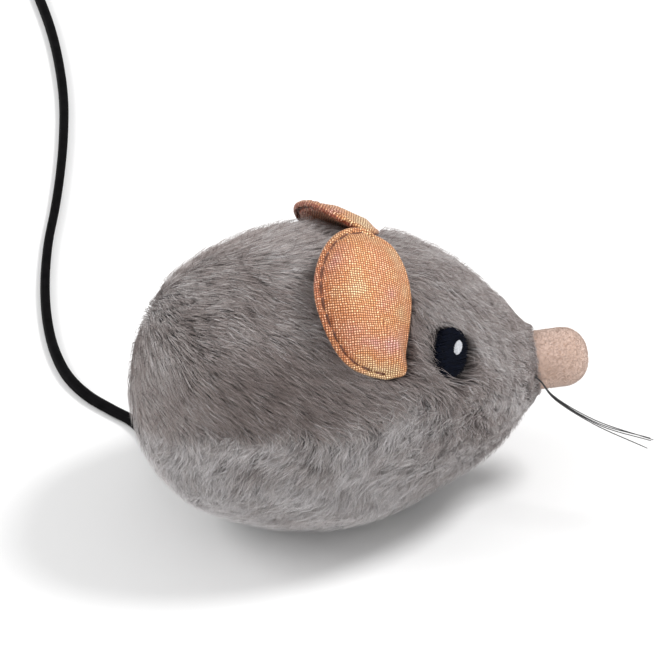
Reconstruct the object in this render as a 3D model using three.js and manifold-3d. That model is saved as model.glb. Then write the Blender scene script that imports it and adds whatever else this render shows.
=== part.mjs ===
// A plush-covered clockwork mouse, in millimetres. +X points to the nose, +Y to the mouse's left
// and +Z up. The origin is on the ground, under the middle of the body's box.
import * as THREE from 'three';
import { mergeVertices } from 'three/addons/utils/BufferGeometryUtils.js';
import Module from 'manifold-3d';

const wasm = await Module();
wasm.setup();

// ---------------------------------------------------------------- driving dimensions
const GAP = 0.3; // air kept between neighbouring pieces
const RAD = Math.PI / 180;

// Body of fur: outer surface of the pile
const BODY_Z = 29.5; // height of the body's axis
const BELLY_Z = 0.9; // the pile is pressed flat at this height
const FUR = 5.6; // backing cloth and pile together
const TAIL_END = -51;
const SNOUT_END = 30.8;
// Radius of the fur at stations along the body
const BODY_OUTLINE = [
  [TAIL_END, 0], [-50.4, 7], [-48.2, 13.2], [-44, 19.8], [-38, 24.7], [-30, 28.1], [-22, 30.3],
  [-14, 31], [-6, 30.3], [2, 28], [10, 24.5], [17, 20.7], [23, 15.4], [27.5, 10.4], [SNOUT_END, 7.4],
];
const SIDE_SEAM = 17 * RAD; // the side panels end this far above the horizontal
const BODY_TURNS = 24; // facets round the body
const BODY_STEPS = 17; // facets along it

// Nose
const NOSE = { x0: 23.6, tip: 41.2, z: 26.2, r: 6.1 };

// Ears: padded leaves that lean back from a line across the head, their tips meeting on top.
// Outline: place along the body, degrees round it from the horizontal, and distance from its axis.
// The left ear is bent further out and down than the right one.
const EAR_OUTLINE = {
  right: [
    [5.6, 50, 24.6], [3.8, 37, 24.6], [3.0, 28.5, 25.6], [-3.6, 31.5, 29], [-8.6, 38, 31.8],
    [-11.8, 50, 34.4], [-12.8, 62, 35.2], [-11.2, 73, 35.8], [-7.8, 82, 36], [-3.8, 87.2, 35],
    [0.2, 87.8, 33.4], [3.9, 85.6, 30.8], [6.2, 78, 27.6], [6.8, 64, 24.8],
  ],
  left: [
    [2.2, 50, 25.6], [0.8, 37, 25.4], [-0.4, 28.5, 26.8], [-5.0, 25.6, 29.8], [-10.0, 28.5, 32.4],
    [-13.2, 36.5, 33.8], [-13.6, 47, 34.4], [-12.0, 57, 34.5], [-9.8, 67, 34.4], [-7.4, 76, 34.0],
    [-4.8, 83, 33.4], [-2.0, 86, 32.0], [1.0, 83.5, 29.6], [2.8, 68, 26.4],
  ],
};
const EAR_MIDDLE = { right: [-2.6, 59, 32], left: [-5.4, 55, 30.2] };
const EAR = { front: 1.3, back: 0.9, apart: 0.16, arc: 0.55 }; // arc: millimetres to a degree

// Eyes
const EYE = { x: 14.2, angle: 39 * RAD, along: 3.8, across: 4.8, thick: 1.6, sunk: 2.7 };
const GLINT = { along: 0.8, across: 1.2, ahead: 1.2, above: 0.9, thick: 0.5 };

// Whiskers, each as root, middle and tip, on the near (right) and the far (left) side
const WHISKER_R = 0.13;
const RIGHT_WHISKERS = [
  [[31.2, -8.5, 25.4], [40, -14.5, 21.8], [51, -21.5, 18.6]],
  [[31.3, -8.5, 24.6], [40.5, -15.9, 20.9], [50.6, -20.0, 18.0]],
  [[31.2, -8.7, 23.9], [41, -16.4, 20.0], [50.8, -19.0, 16.6]],
  [[31.0, -8.9, 23.2], [39.5, -13.2, 18.6], [49.6, -22.4, 17.4]],
];
const LEFT_WHISKERS = [
  [[30.2, 8.9, 25.4], [28.5, 18.5, 22.8], [25.0, 28.4, 17.0]],
  [[30.2, 9.0, 24.8], [28.0, 19.0, 20.8], [23.4, 27.4, 14.6]],
  [[30.1, 9.1, 24.1], [27.0, 18.6, 19.0], [23.0, 26.0, 12.8]],
  [[30.0, 9.2, 23.5], [27.5, 17.6, 17.8], [21.6, 26.6, 13.8]],
];

// Tail: a flat lace whose route runs from inside the rear fur to the ground and away to the left
const LACE = { wide: 2.4, thick: 2.0, steps: 44 };
const LACE_ROUTE = [
  [-39.6, 2.5, 13.4], [-42.6, 4.6, 11.2], [-45.0, 7.8, 7.6], [-46.4, 12.2, 3.6], [-47.2, 17.6, 1.5],
  [-48.6, 24.4, 1.2], [-51.2, 31.2, 1.2], [-55.4, 36.4, 1.2], [-59.8, 42.2, 1.2], [-63.4, 49.6, 1.2],
  [-65.6, 58.8, 1.2], [-66.6, 70.0, 1.2], [-66.4, 84.0, 1.2], [-64.8, 100.0, 1.2], [-62.4, 114.0, 1.2],
  [-60.4, 128.0, 1.2], [-58.9, 142.0, 1.2], [-58.0, 157.0, 1.2], [-58.2, 173.0, 1.2],
  [-59.2, 187.0, 1.2], [-60.9, 200.0, 1.2], [-61.6, 205.0, 1.2],
];

// Motor case and belly plate
const CASE = { x0: -29.6, x1: 1, z0: 3.6, z1: 27.2, half: 5.6, wall: 1, round: 2.4 };
const PLATE = { z0: 2, z1: 3.2 };
const PLATE_OUTLINE = [
  [-36.8, -4.4], [-27, -4.4], [-27, -8.5], [-13, -8.5], [-13, -5.4], [1.4, -5.4],
  [1.4, 5.4], [-13, 5.4], [-13, 8.5], [-27, 8.5], [-27, 4.4], [-36.8, 4.4],
];
const BELLY_OPENING = [
  [-37.8, -5.4], [-30.2, -5.4], [-30.2, -9.3], [-13.4, -9.3], [-13.4, -11], [3.4, -11],
  [3.4, 11], [-13.4, 11], [-13.4, 9.3], [-30.2, 9.3], [-30.2, 5.4], [-37.8, 5.4],
];
const CASE_SCREWS = [[-27.2, 24.8], [-1.4, 24.8], [-27.3, 6]];
const PLATE_SCREW_X = -20;
const PINION_ROOM = 3.5;
const TAB = { x0: -23, x1: -17, y: 8.4, z1: 5.2 };

// Gear train: every arbor runs across the mouse, along Y
const MODULE = 0.5;
const WINDER = { x: -20.5, z: 13 };
const SECOND = { x: -10.5, z: 13 };
const GOVERNOR = { x: -10.5, z: 21.5 };
const DRIVE = { x: -5.02, z: 6.5 };
const GREAT_TEETH = 30;
const SECOND_TEETH = 24;
const PINION_TEETH = 10;
const LAYER = { great: [-4.3, -3.3], ratchet: [-2.9, -2.1], second: [-1.7, -0.7], spring: [-0.2, 3.9] };
const TOOTH = { wheelTip: 0.3, pinionTip: 0.5, root: 0.6, backlash: 0.1 };
const ARBOR = { winder: 1.5, second: 0.8, governor: 0.7, drive: 1.0 };
const SPRING = { inner: 2.4, outer: 7.2, turns: 5, band: 0.35 };

// Wheels
const WHEEL = { r: 6.5, hub: 4.9, y0: 6.4, y1: 9.6 };
const ROLLER = { x: -33.1, z: 3, r: 3, half: 2.7, pin: 0.7, lug: 1.6 };

// Winding key, on the left flank
const KEY = { y0: 19.6, y1: 29.8, thick: 1.8, hubR: 2.8, hubY: 23.4, well: 8.4 };

// ---------------------------------------------------------------- finishes
const finish = (color, roughness, metalness = 0) =>
  new THREE.MeshStandardMaterial({ color, roughness, metalness });
const FINISH = {
  fur: finish(0x87807b, 1),
  fill: finish(0xefeee9, 1),
  shimmer: finish(0xd78c55, 0.45, 0.2),
  lining: finish(0xb56a3c, 0.6, 0.1),
  navy: finish(0x141a2c, 0.7),
  white: finish(0xf4f4f2, 0.6),
  flock: finish(0xdfbeaa, 1),
  thread: finish(0x17161a, 0.5),
  lace: finish(0x1b1a1d, 0.5),
  plastic: finish(0x2d2f33, 0.5),
  steel: finish(0xb4b6ba, 0.35, 1),
  brass: finish(0xc9a24e, 0.35, 1),
  nylon: finish(0xeee8da, 0.5),
  rubber: finish(0x1c1c1c, 0.9),
};

const mouse = new THREE.Group();

// ---------------------------------------------------------------- solids and booleans
// Turns a three.js geometry into a manifold solid: shared corners merged, empty facets dropped,
// and all facets turned over if the shape was made inside out, as a mirrored one is.
function solid(geometry) {
  const bare = geometry.index ? geometry.toNonIndexed() : geometry.clone();
  for (const name of Object.keys(bare.attributes)) {
    if (name !== 'position') bare.deleteAttribute(name);
  }
  const merged = mergeVertices(bare, 1e-4);
  const corner = [0, 1, 2].map(() => new THREE.Vector3());
  const index = [];
  let volume = 0;
  for (let i = 0; i < merged.index.count; i += 3) {
    const [a, b, c] = [0, 1, 2].map((k) => merged.index.getX(i + k));
    if (a !== b && b !== c && a !== c) {
      index.push(a, b, c);
      [a, b, c].forEach((v, k) => corner[k].fromBufferAttribute(merged.attributes.position, v));
      volume += corner[0].dot(corner[1].cross(corner[2]));
    }
  }
  return new wasm.Manifold(new wasm.Mesh({
    numProp: 3,
    vertProperties: new Float32Array(merged.attributes.position.array),
    triVerts: new Uint32Array(volume < 0 ? index.reverse() : index),
  }));
}

function add(name, shape, material) {
  const mesh = shape.getMesh();
  const geometry = new THREE.BufferGeometry();
  geometry.setAttribute('position', new THREE.BufferAttribute(new Float32Array(mesh.vertProperties), 3));
  geometry.setIndex(new THREE.BufferAttribute(new Uint32Array(mesh.triVerts), 1));
  geometry.computeVertexNormals();
  const piece = new THREE.Mesh(geometry, material);
  piece.name = name;
  mouse.add(piece);
}

// Moves every vertex of a geometry by a function of its place.
function bend(geometry, move) {
  const place = geometry.attributes.position;
  const p = new THREE.Vector3();
  for (let i = 0; i < place.count; i += 1) {
    p.fromBufferAttribute(place, i);
    const to = move(p);
    place.setXYZ(i, to.x, to.y, to.z);
  }
  return geometry;
}

// A cylinder along Y, centred on (x, z).
function rod(radius, y0, y1, at, sides = 12) {
  const geometry = new THREE.CylinderGeometry(radius, radius, y1 - y0, sides);
  return solid(geometry.translate(at.x, (y0 + y1) / 2, at.z));
}

// A block between two corners.
function block(x0, x1, y0, y1, z0, z1) {
  const geometry = new THREE.BoxGeometry(x1 - x0, y1 - y0, z1 - z0);
  return solid(geometry.translate((x0 + x1) / 2, (y0 + y1) / 2, (z0 + z1) / 2));
}

// An outline in X and Y, raised from z0 to z1.
function raised(points, z0, z1) {
  const outline = new THREE.Shape(points.map(([x, y]) => new THREE.Vector2(x, y)));
  const geometry = new THREE.ExtrudeGeometry(outline, { depth: z1 - z0, bevelEnabled: false });
  return solid(geometry.translate(0, 0, z0));
}

// An outline in X and Z, given about its own centre, as a plate from y0 to y1.
function plate(shape, y0, y1, at, curveSegments = 6) {
  const geometry = new THREE.ExtrudeGeometry(shape, { depth: y1 - y0, bevelEnabled: false, curveSegments });
  geometry.rotateX(Math.PI / 2); // the outline's Y turns to +Z, and its depth to -Y
  return solid(geometry.translate(at.x, y1, at.z));
}

function roundedBox(x0, x1, z0, z1, r) {
  const shape = new THREE.Shape();
  shape.moveTo(x0 + r, z0);
  shape.lineTo(x1 - r, z0);
  shape.absarc(x1 - r, z0 + r, r, -Math.PI / 2, 0);
  shape.lineTo(x1, z1 - r);
  shape.absarc(x1 - r, z1 - r, r, 0, Math.PI / 2);
  shape.lineTo(x0 + r, z1);
  shape.absarc(x0 + r, z1 - r, r, Math.PI / 2, Math.PI);
  shape.lineTo(x0, z0 + r);
  shape.absarc(x0 + r, z0 + r, r, Math.PI, 1.5 * Math.PI);
  return shape;
}

// ---------------------------------------------------------------- the body's surface
const smooth = (t) => {
  const s = Math.min(1, Math.max(0, t));
  return s * s * (3 - 2 * s);
};
const outline = new THREE.SplineCurve(BODY_OUTLINE.map(([x, r]) => new THREE.Vector2(x, r)));

// Height of the body's axis: it droops a little at the rear and towards the snout.
function axisZ(x) {
  const rear = Math.max(0, (-38 - x) / 13);
  return BODY_Z - 1.9 * rear * rear - 3 * smooth((x - 8) / 20);
}

// Radius of the fur at x, found along the outline.
function furRadius(x) {
  let [low, high] = [0, 1];
  for (let i = 0; i < 24; i += 1) {
    const middle = (low + high) / 2;
    if (outline.getPoint(middle).x < x) low = middle;
    else high = middle;
  }
  return outline.getPoint(low).y;
}

// Point of the fur's surface, or below it, at x and an angle above the horizontal. Side is -1 on the right.
function onBody(x, angle, below, side) {
  const r = furRadius(x) - below;
  return new THREE.Vector3(x, side * r * Math.cos(angle), axisZ(x) + r * Math.sin(angle));
}

// The body's solid, at a depth under the fur's surface: a lathe turned along X, drooped and flattened.
function bodySolid(depth) {
  const profile = [];
  for (let i = 0; i <= BODY_STEPS; i += 1) {
    const t = i / BODY_STEPS;
    const at = outline.getPoint(t);
    const way = outline.getTangent(t);
    const x = at.x + way.y * depth;
    const r = i === 0 ? 0 : Math.max(0.5, at.y - way.x * depth);
    profile.push(new THREE.Vector2(r, x));
  }
  profile.push(new THREE.Vector2(0, profile[BODY_STEPS].y));
  const geometry = new THREE.LatheGeometry(profile, BODY_TURNS);
  geometry.rotateZ(-Math.PI / 2); // the lathe's axis turns from Y to X
  return solid(bend(geometry, (p) => p.set(p.x, p.y, Math.max(p.z + axisZ(p.x), BELLY_Z + depth))));
}

// ---------------------------------------------------------------- soft pieces
// The leaf's middle surface over a unit disc, its rim grown outwards by some millimetres.
const flatPoint = ([x, degrees, r]) => new THREE.Vector3(x, degrees * EAR.arc, r);
const earRim = {
  [-1]: new THREE.CatmullRomCurve3(EAR_OUTLINE.right.map(flatPoint), true),
  1: new THREE.CatmullRomCurve3(EAR_OUTLINE.left.map(flatPoint), true),
};
const earMiddle = { [-1]: flatPoint(EAR_MIDDLE.right), 1: flatPoint(EAR_MIDDLE.left) };

function onLeaf(side, across, up, grow) {
  const reach = Math.hypot(across, up);
  const turn = (Math.atan2(up, across) / (2 * Math.PI) + 1) % 1;
  const way = earRim[side].getPoint(turn).sub(earMiddle[side]);
  const at = earMiddle[side].clone().addScaledVector(way, reach * (1 + grow / way.length()));
  const angle = (at.y / EAR.arc) * RAD;
  return new THREE.Vector3(at.x, side * at.z * Math.cos(angle), BODY_Z + at.z * Math.sin(angle));
}

// A pillow on the leaf. off(height, level) is its distance from the middle surface, for a height of
// 0 at the rim to 1 in the middle, on its outer face (level 1) or the face to the body (level -1).
function earPillow(side, grow, off) {
  const geometry = new THREE.SphereGeometry(1, 22, 8);
  geometry.rotateX(Math.PI / 2);
  const step = 0.02;
  return solid(bend(geometry, (p) => {
    const reach = Math.min(1, Math.hypot(p.x, p.y));
    const height = Math.sqrt(1 - reach * reach);
    const level = Math.abs(p.z) < 1e-6 ? 0 : Math.sign(p.z);
    const point = onLeaf(side, p.x, p.y, grow);
    const pull = 1 - step;
    const near = (dx, dy) => onLeaf(side, p.x * pull + dx, p.y * pull + dy, grow);
    const ahead = near(step, 0).sub(near(-step, 0));
    const round = near(0, step).sub(near(0, -step));
    const out = ahead.cross(round).normalize();
    const radial = new THREE.Vector3(0, point.y, point.z - BODY_Z);
    if (out.dot(radial) < 0) out.negate();
    return point.addScaledVector(out, off(height, level));
  }));
}

function ear(side) {
  const front = earPillow(side, 0, (h, level) => EAR.apart + (level > 0 ? EAR.front * h ** 0.7 : 0));
  const back = earPillow(side, 0, (h, level) => -EAR.apart - (level < 0 ? EAR.back * h ** 0.7 : 0));
  const room = earPillow(side, 0.9, (h, level) => level * (0.6 + EAR.front * h ** 0.6));
  return { front, back, room };
}

// An upright disc of elliptical outline, lying on the body at an eye's place.
function eyeDisc(side, along, across, ahead, above, from, to) {
  const shape = new THREE.Shape();
  shape.absellipse(0, 0, along, across, 0, 2 * Math.PI);
  const options = { depth: to - from, bevelEnabled: false, curveSegments: 10 };
  const geometry = new THREE.ExtrudeGeometry(shape, options);
  const centre = onBody(EYE.x, EYE.angle, 0, side);
  const ahead3 = onBody(EYE.x + 1, EYE.angle, 0, side).sub(centre).normalize();
  const up = onBody(EYE.x, EYE.angle + 0.05, 0, side).sub(centre).normalize();
  const out = ahead3.clone().cross(up).multiplyScalar(-side).normalize();
  up.copy(out).cross(ahead3).multiplyScalar(-side).normalize();
  geometry.translate(ahead, above, from);
  const made = bend(geometry, (p) => centre.clone()
    .addScaledVector(ahead3, p.x)
    .addScaledVector(up, p.y)
    .addScaledVector(out, p.z));
  return solid(made);
}

function noseSolid(radius, x0) {
  const round = radius;
  const profile = [new THREE.Vector2(0, x0), new THREE.Vector2(radius, x0)];
  const start = NOSE.tip - 0.85 * round;
  for (let i = 0; i <= 6; i += 1) {
    const turn = (i / 6) * (Math.PI / 2);
    profile.push(new THREE.Vector2(radius * Math.cos(turn), start + 0.85 * round * Math.sin(turn)));
  }
  const geometry = new THREE.LatheGeometry(profile, 20);
  geometry.rotateZ(-Math.PI / 2);
  return solid(geometry.translate(0, 0, NOSE.z));
}

function tube(points, section, steps) {
  const path = new THREE.CatmullRomCurve3(points.map((p) => new THREE.Vector3(...p)));
  return solid(new THREE.ExtrudeGeometry(section, { extrudePath: path, steps, bevelEnabled: false }));
}

function polygon(radiusX, radiusY, sides) {
  const shape = new THREE.Shape();
  for (let i = 0; i < sides; i += 1) {
    const turn = ((i + 0.5) / sides) * 2 * Math.PI;
    const point = [radiusX * Math.cos(turn), radiusY * Math.sin(turn)];
    if (i === 0) shape.moveTo(...point);
    else shape.lineTo(...point);
  }
  return shape;
}

// Fur panels: the shell of pile and backing, cut at the seams and opened where pieces come through
const shell = bodySolid(0).subtract(bodySolid(FUR));
const noseWell = noseSolid(NOSE.r + 0.4, NOSE.x0 - 0.4);
const ears = { right: ear(-1), left: ear(1) };
const eyeWell = (side) => eyeDisc(side, EYE.along + GAP, EYE.across + GAP, 0, 0, -EYE.sunk - GAP, 6);
const keyWell = rod(KEY.well, KEY.y0 - 1.2, 40, WINDER, 20);
const keyPassage = rod(ARBOR.winder + 0.5, 0, 40, WINDER, 12);
const bellyOpening = raised(BELLY_OPENING, -5, 14);
const recessHalf = CASE.half + 1.8; // clears the screw heads
const motorRecess = block(CASE.x0 - 0.6, CASE.x1 + 0.6, -recessHalf, recessHalf, 6.4, CASE.z1 + 0.6);
const laceWell = tube(LACE_ROUTE.slice(0, 6), polygon(1.9, 1.9, 8), 14);

// Wedge of everything between the seam and the top, on one side
function sideWedge(side) {
  const far = 80;
  const seamY = far * Math.cos(SIDE_SEAM);
  const seamZ = far * Math.sin(SIDE_SEAM);
  const shape = new THREE.Shape();
  shape.moveTo(GAP / 2, 0);
  shape.lineTo(seamY, seamZ);
  shape.lineTo(seamY, far);
  shape.lineTo(GAP / 2, far);
  const geometry = new THREE.ExtrudeGeometry(shape, { depth: 120, bevelEnabled: false });
  // Width to +Y, height to +Z and depth to +X, then over to the right side if asked
  geometry.rotateX(Math.PI / 2).rotateZ(Math.PI / 2).translate(-60, 0, BODY_Z - 2);
  return solid(geometry.scale(1, side, 1));
}

const wedges = { right: sideWedge(-1), left: sideWedge(1) };
const common = shell.subtract(noseWell);
const rightSide = common.intersect(wedges.right).subtract(ears.right.room).subtract(eyeWell(-1));
const leftSide = common.intersect(wedges.left)
  .subtract(ears.left.room)
  .subtract(eyeWell(1))
  .subtract(keyWell);
const bellySide = common
  .subtract(wedges.right.translate([0, 0, -GAP]))
  .subtract(wedges.left.translate([0, 0, -GAP]))
  .subtract(block(-60, 60, -GAP, GAP, BODY_Z - 2, 80))
  .subtract(bellyOpening)
  .subtract(motorRecess)
  .subtract(keyPassage)
  .subtract(keyWell)
  .subtract(laceWell);

add('fur_right_side', rightSide, FINISH.fur);
add('fur_left_side', leftSide, FINISH.fur);
add('fur_belly', bellySide, FINISH.fur);

// Stuffing: fills the body, with a recess for the motor that opens downwards
add(
  'stuffing',
  bodySolid(FUR + GAP)
    .subtract(motorRecess)
    .subtract(raised(BELLY_OPENING, -5, 14.2))
    .subtract(keyPassage)
    .subtract(keyWell)
    .subtract(noseWell)
    .subtract(laceWell),
  FINISH.fill,
);

for (const [side, made] of Object.entries(ears)) {
  add(`ear_${side}_front`, made.front, FINISH.shimmer);
  add(`ear_${side}_back`, made.back, FINISH.lining);
}

for (const [side, sign] of [['right', -1], ['left', 1]]) {
  const top = -EYE.sunk + EYE.thick;
  add(`eye_${side}`, eyeDisc(sign, EYE.along, EYE.across, 0, 0, -EYE.sunk, top), FINISH.navy);
  const { along, across, ahead, above, thick } = GLINT;
  const glint = eyeDisc(sign, along, across, ahead, above, top + GAP, top + GAP + thick);
  add(`eye_${side}_glint`, glint, FINISH.white);
}

add('nose', noseSolid(NOSE.r, NOSE.x0), FINISH.flock);

for (const [side, whiskers] of [['right', RIGHT_WHISKERS], ['left', LEFT_WHISKERS]]) {
  whiskers.forEach((points, i) => {
    add(`whisker_${side}_${i + 1}`, tube(points, polygon(WHISKER_R, WHISKER_R, 5), 6), FINISH.thread);
  });
}

add('tail_lace', tube(LACE_ROUTE, polygon(LACE.wide / 2, LACE.thick / 2, 8), LACE.steps), FINISH.lace);

// ---------------------------------------------------------------- gears
// Outline of an involute gear with 20 degree flanks. Tooth 0 is centred on +X, turned by phase.
function gearShape(teeth, tip, bore, phase) {
  const pitchR = (MODULE * teeth) / 2;
  const baseR = pitchR * Math.cos(20 * RAD);
  const rootR = pitchR - TOOTH.root;
  const tipR = pitchR + tip;
  const involute = (r) => (r <= baseR ? 0 : Math.sqrt((r / baseR) ** 2 - 1) - Math.acos(baseR / r));
  const halfPitch = Math.PI / (2 * teeth) - TOOTH.backlash / (2 * pitchR);
  const halfAt = (r) => halfPitch + involute(pitchR) - involute(r);
  const startR = Math.max(rootR, baseR);
  // A small pinion's flanks are more curved than a wheel's, so they get a point more
  const radii = teeth > 2 * PINION_TEETH ? [startR, tipR] : [startR, (startR + tipR) / 2, tipR];
  const flank = rootR < startR ? [rootR, ...radii] : radii;
  const shape = new THREE.Shape();
  for (let tooth = 0; tooth < teeth; tooth += 1) {
    const centre = phase + (tooth / teeth) * 2 * Math.PI;
    const left = flank.map((r) => [r, centre - halfAt(r)]);
    const right = [...flank].reverse().map((r) => [r, centre + halfAt(r)]);
    for (const [r, turn] of [...left, ...right]) {
      const point = [r * Math.cos(turn), r * Math.sin(turn)];
      if (tooth === 0 && r === flank[0] && turn < centre) shape.moveTo(...point);
      else shape.lineTo(...point);
    }
  }
  const hole = new THREE.Path();
  hole.absarc(0, 0, bore, 0, 2 * Math.PI, true);
  shape.holes.push(hole);
  return shape;
}

// Phase of a pinion that meshes with a wheel, from the angle of the wheel's tooth 0.
function meshPhase(wheelAt, wheelTeeth, wheelPhase, pinionAt, pinionTeeth) {
  const line = Math.atan2(pinionAt.z - wheelAt.z, pinionAt.x - wheelAt.x);
  const along = ((line - wheelPhase) / (2 * Math.PI)) * wheelTeeth;
  return line + Math.PI - ((0.5 - along) * 2 * Math.PI) / pinionTeeth;
}

const secondPhase = meshPhase(WINDER, GREAT_TEETH, 0, SECOND, PINION_TEETH);
const drivePhase = meshPhase(SECOND, SECOND_TEETH, 0, DRIVE, PINION_TEETH);
const governorPhase = meshPhase(SECOND, SECOND_TEETH, 0, GOVERNOR, PINION_TEETH);

// Winder: arbor, great wheel, ratchet wheel and click, and the key outside
const arborEnd = CASE.half - 0.3;
add('winding_arbor', rod(ARBOR.winder, -arborEnd, KEY.y0 + 3, WINDER), FINISH.steel);
add(
  'great_wheel',
  plate(gearShape(GREAT_TEETH, TOOTH.wheelTip, ARBOR.winder + GAP, 0), ...LAYER.great, WINDER, 6),
  FINISH.brass,
);

function ratchetShape(teeth, tipR, rootR, bore) {
  const shape = new THREE.Shape();
  for (let i = 0; i < teeth; i += 1) {
    const turn = (i / teeth) * 2 * Math.PI;
    const next = ((i + 0.85) / teeth) * 2 * Math.PI;
    const tip = [tipR * Math.cos(turn), tipR * Math.sin(turn)];
    const root = [rootR * Math.cos(next), rootR * Math.sin(next)];
    if (i === 0) shape.moveTo(...tip);
    else shape.lineTo(...tip);
    shape.lineTo(...root);
  }
  const hole = new THREE.Path();
  hole.absarc(0, 0, bore, 0, 2 * Math.PI, true);
  shape.holes.push(hole);
  return shape;
}
const ratchetWheel = plate(ratchetShape(10, 3.1, 2.5, ARBOR.winder + GAP), ...LAYER.ratchet, WINDER);
add('ratchet_wheel', ratchetWheel, FINISH.steel);

// The click is a small sprung arm on the great wheel, its nose behind a ratchet tooth
const clickShape = new THREE.Shape();
clickShape.moveTo(3.35, -0.4);
clickShape.lineTo(4.3, -2.6);
clickShape.lineTo(5.4, -2.6);
clickShape.lineTo(5.4, -1.4);
clickShape.lineTo(3.7, 0.3);
add('ratchet_click', plate(clickShape, ...LAYER.ratchet, WINDER), FINISH.steel);

// Mainspring: a spiral band
function spiralShape() {
  const shape = new THREE.Shape();
  const steps = 60;
  const at = (i, off) => {
    const turn = (i / steps) * SPRING.turns * 2 * Math.PI;
    const r = SPRING.inner + ((SPRING.outer - SPRING.inner) * i) / steps + off;
    return [r * Math.cos(turn), r * Math.sin(turn)];
  };
  shape.moveTo(...at(0, 0));
  for (let i = 1; i <= steps; i += 1) shape.lineTo(...at(i, 0));
  for (let i = steps; i >= 0; i -= 1) shape.lineTo(...at(i, -SPRING.band));
  return shape;
}
add('mainspring', plate(spiralShape(), ...LAYER.spring, WINDER), FINISH.steel);

// Key: a hub with two round wings, in a plane that holds the arbor
const keyHub = rod(KEY.hubR, KEY.y0, KEY.hubY, WINDER, 14);
const wingShape = new THREE.Shape();
wingShape.absarc(0, 0, 3.4, 0, 2 * Math.PI);
const wingHole = new THREE.Path();
wingHole.absarc(0, 0, 1.5, 0, 2 * Math.PI, true);
wingShape.holes.push(wingHole);
function keyWing(way) {
  const options = { depth: KEY.thick, bevelEnabled: false, curveSegments: 8 };
  const geometry = new THREE.ExtrudeGeometry(wingShape, options);
  geometry.translate(0, 0, -KEY.thick / 2);
  return solid(geometry.translate(WINDER.x + way * 3.5, KEY.y1 - 3.4, WINDER.z));
}
const webZ = WINDER.z - KEY.thick / 2;
const keyWeb = block(WINDER.x - 1.6, WINDER.x + 1.6, KEY.hubY - 1, KEY.y1 - 2.2, webZ, webZ + KEY.thick);
const keyBore = rod(ARBOR.winder + GAP, KEY.y0 - 1, KEY.y0 + 3 + GAP, WINDER);
add('winding_key', keyHub.add(keyWeb).add(keyWing(-1)).add(keyWing(1)).subtract(keyBore), FINISH.nylon);

// Second wheel with its pinion, in one moulding, on its arbor
const secondShape = gearShape(SECOND_TEETH, TOOTH.wheelTip, ARBOR.second + GAP, 0);
const secondWheel = plate(secondShape, ...LAYER.second, SECOND);
const secondPinion = plate(
  gearShape(PINION_TEETH, TOOTH.pinionTip, ARBOR.second + GAP, secondPhase),
  LAYER.great[0],
  LAYER.second[0] + 0.1,
  SECOND,
);
add('second_wheel', secondWheel.add(secondPinion), FINISH.nylon);
add('second_arbor', rod(ARBOR.second, -arborEnd, arborEnd, SECOND), FINISH.steel);

// Governor: a pinion and a small heavy wheel on a fast arbor
add(
  'governor_pinion',
  plate(
    gearShape(PINION_TEETH, TOOTH.pinionTip, ARBOR.governor + GAP, governorPhase),
    ...LAYER.second,
    GOVERNOR,
  ),
  FINISH.nylon,
);
const weightShape = new THREE.Shape();
weightShape.absarc(0, 0, 3.9, 0, 2 * Math.PI);
const weightHole = new THREE.Path();
weightHole.absarc(0, 0, ARBOR.governor + GAP, 0, 2 * Math.PI, true);
weightShape.holes.push(weightHole);
add('governor_weight', plate(weightShape, 0.4, 3.4, GOVERNOR, 8), FINISH.brass);
add('governor_arbor', rod(ARBOR.governor, -arborEnd, arborEnd, GOVERNOR), FINISH.steel);

// Drive axle with its pinion and the two driven wheels
add(
  'drive_pinion',
  plate(gearShape(PINION_TEETH, TOOTH.pinionTip, ARBOR.drive + GAP, drivePhase), ...LAYER.second, DRIVE),
  FINISH.nylon,
);
add('drive_axle', rod(ARBOR.drive, -WHEEL.y1 + 0.4, WHEEL.y1 - 0.4, DRIVE), FINISH.steel);

function ring(outer, inner, y0, y1, at, sides) {
  return rod(outer, y0, y1, at, sides).subtract(rod(inner, y0 - 1, y1 + 1, at, sides));
}
for (const [side, sign] of [['right', -1], ['left', 1]]) {
  const [y0, y1] = [sign * WHEEL.y0, sign * WHEEL.y1].sort((a, b) => a - b);
  const hub = ring(WHEEL.hub, ARBOR.drive + GAP, y0, y1, DRIVE, 20);
  // A shallow dish in the outer face
  const dish = sign > 0 ? [y1 - 0.8, y1 + 1] : [y0 - 1, y0 + 0.8];
  add(`wheel_hub_${side}`, hub.subtract(ring(WHEEL.hub - 0.9, 2.2, ...dish, DRIVE, 20)), FINISH.nylon);
  add(`tyre_${side}`, ring(WHEEL.r, WHEEL.hub + GAP, y0, y1, DRIVE, 28), FINISH.rubber);
}

// ---------------------------------------------------------------- case, plate and roller
const holes = [
  [WINDER, ARBOR.winder],
  [SECOND, ARBOR.second],
  [GOVERNOR, ARBOR.governor],
  [DRIVE, ARBOR.drive],
];
const caseShape = roundedBox(CASE.x0, CASE.x1, CASE.z0, CASE.z1, CASE.round);
const hollowShape = roundedBox(
  CASE.x0 + CASE.wall, CASE.x1 - CASE.wall, CASE.z0 + CASE.wall, CASE.z1 - CASE.wall, CASE.round - CASE.wall,
);
const origin = { x: 0, z: 0 };

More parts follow.
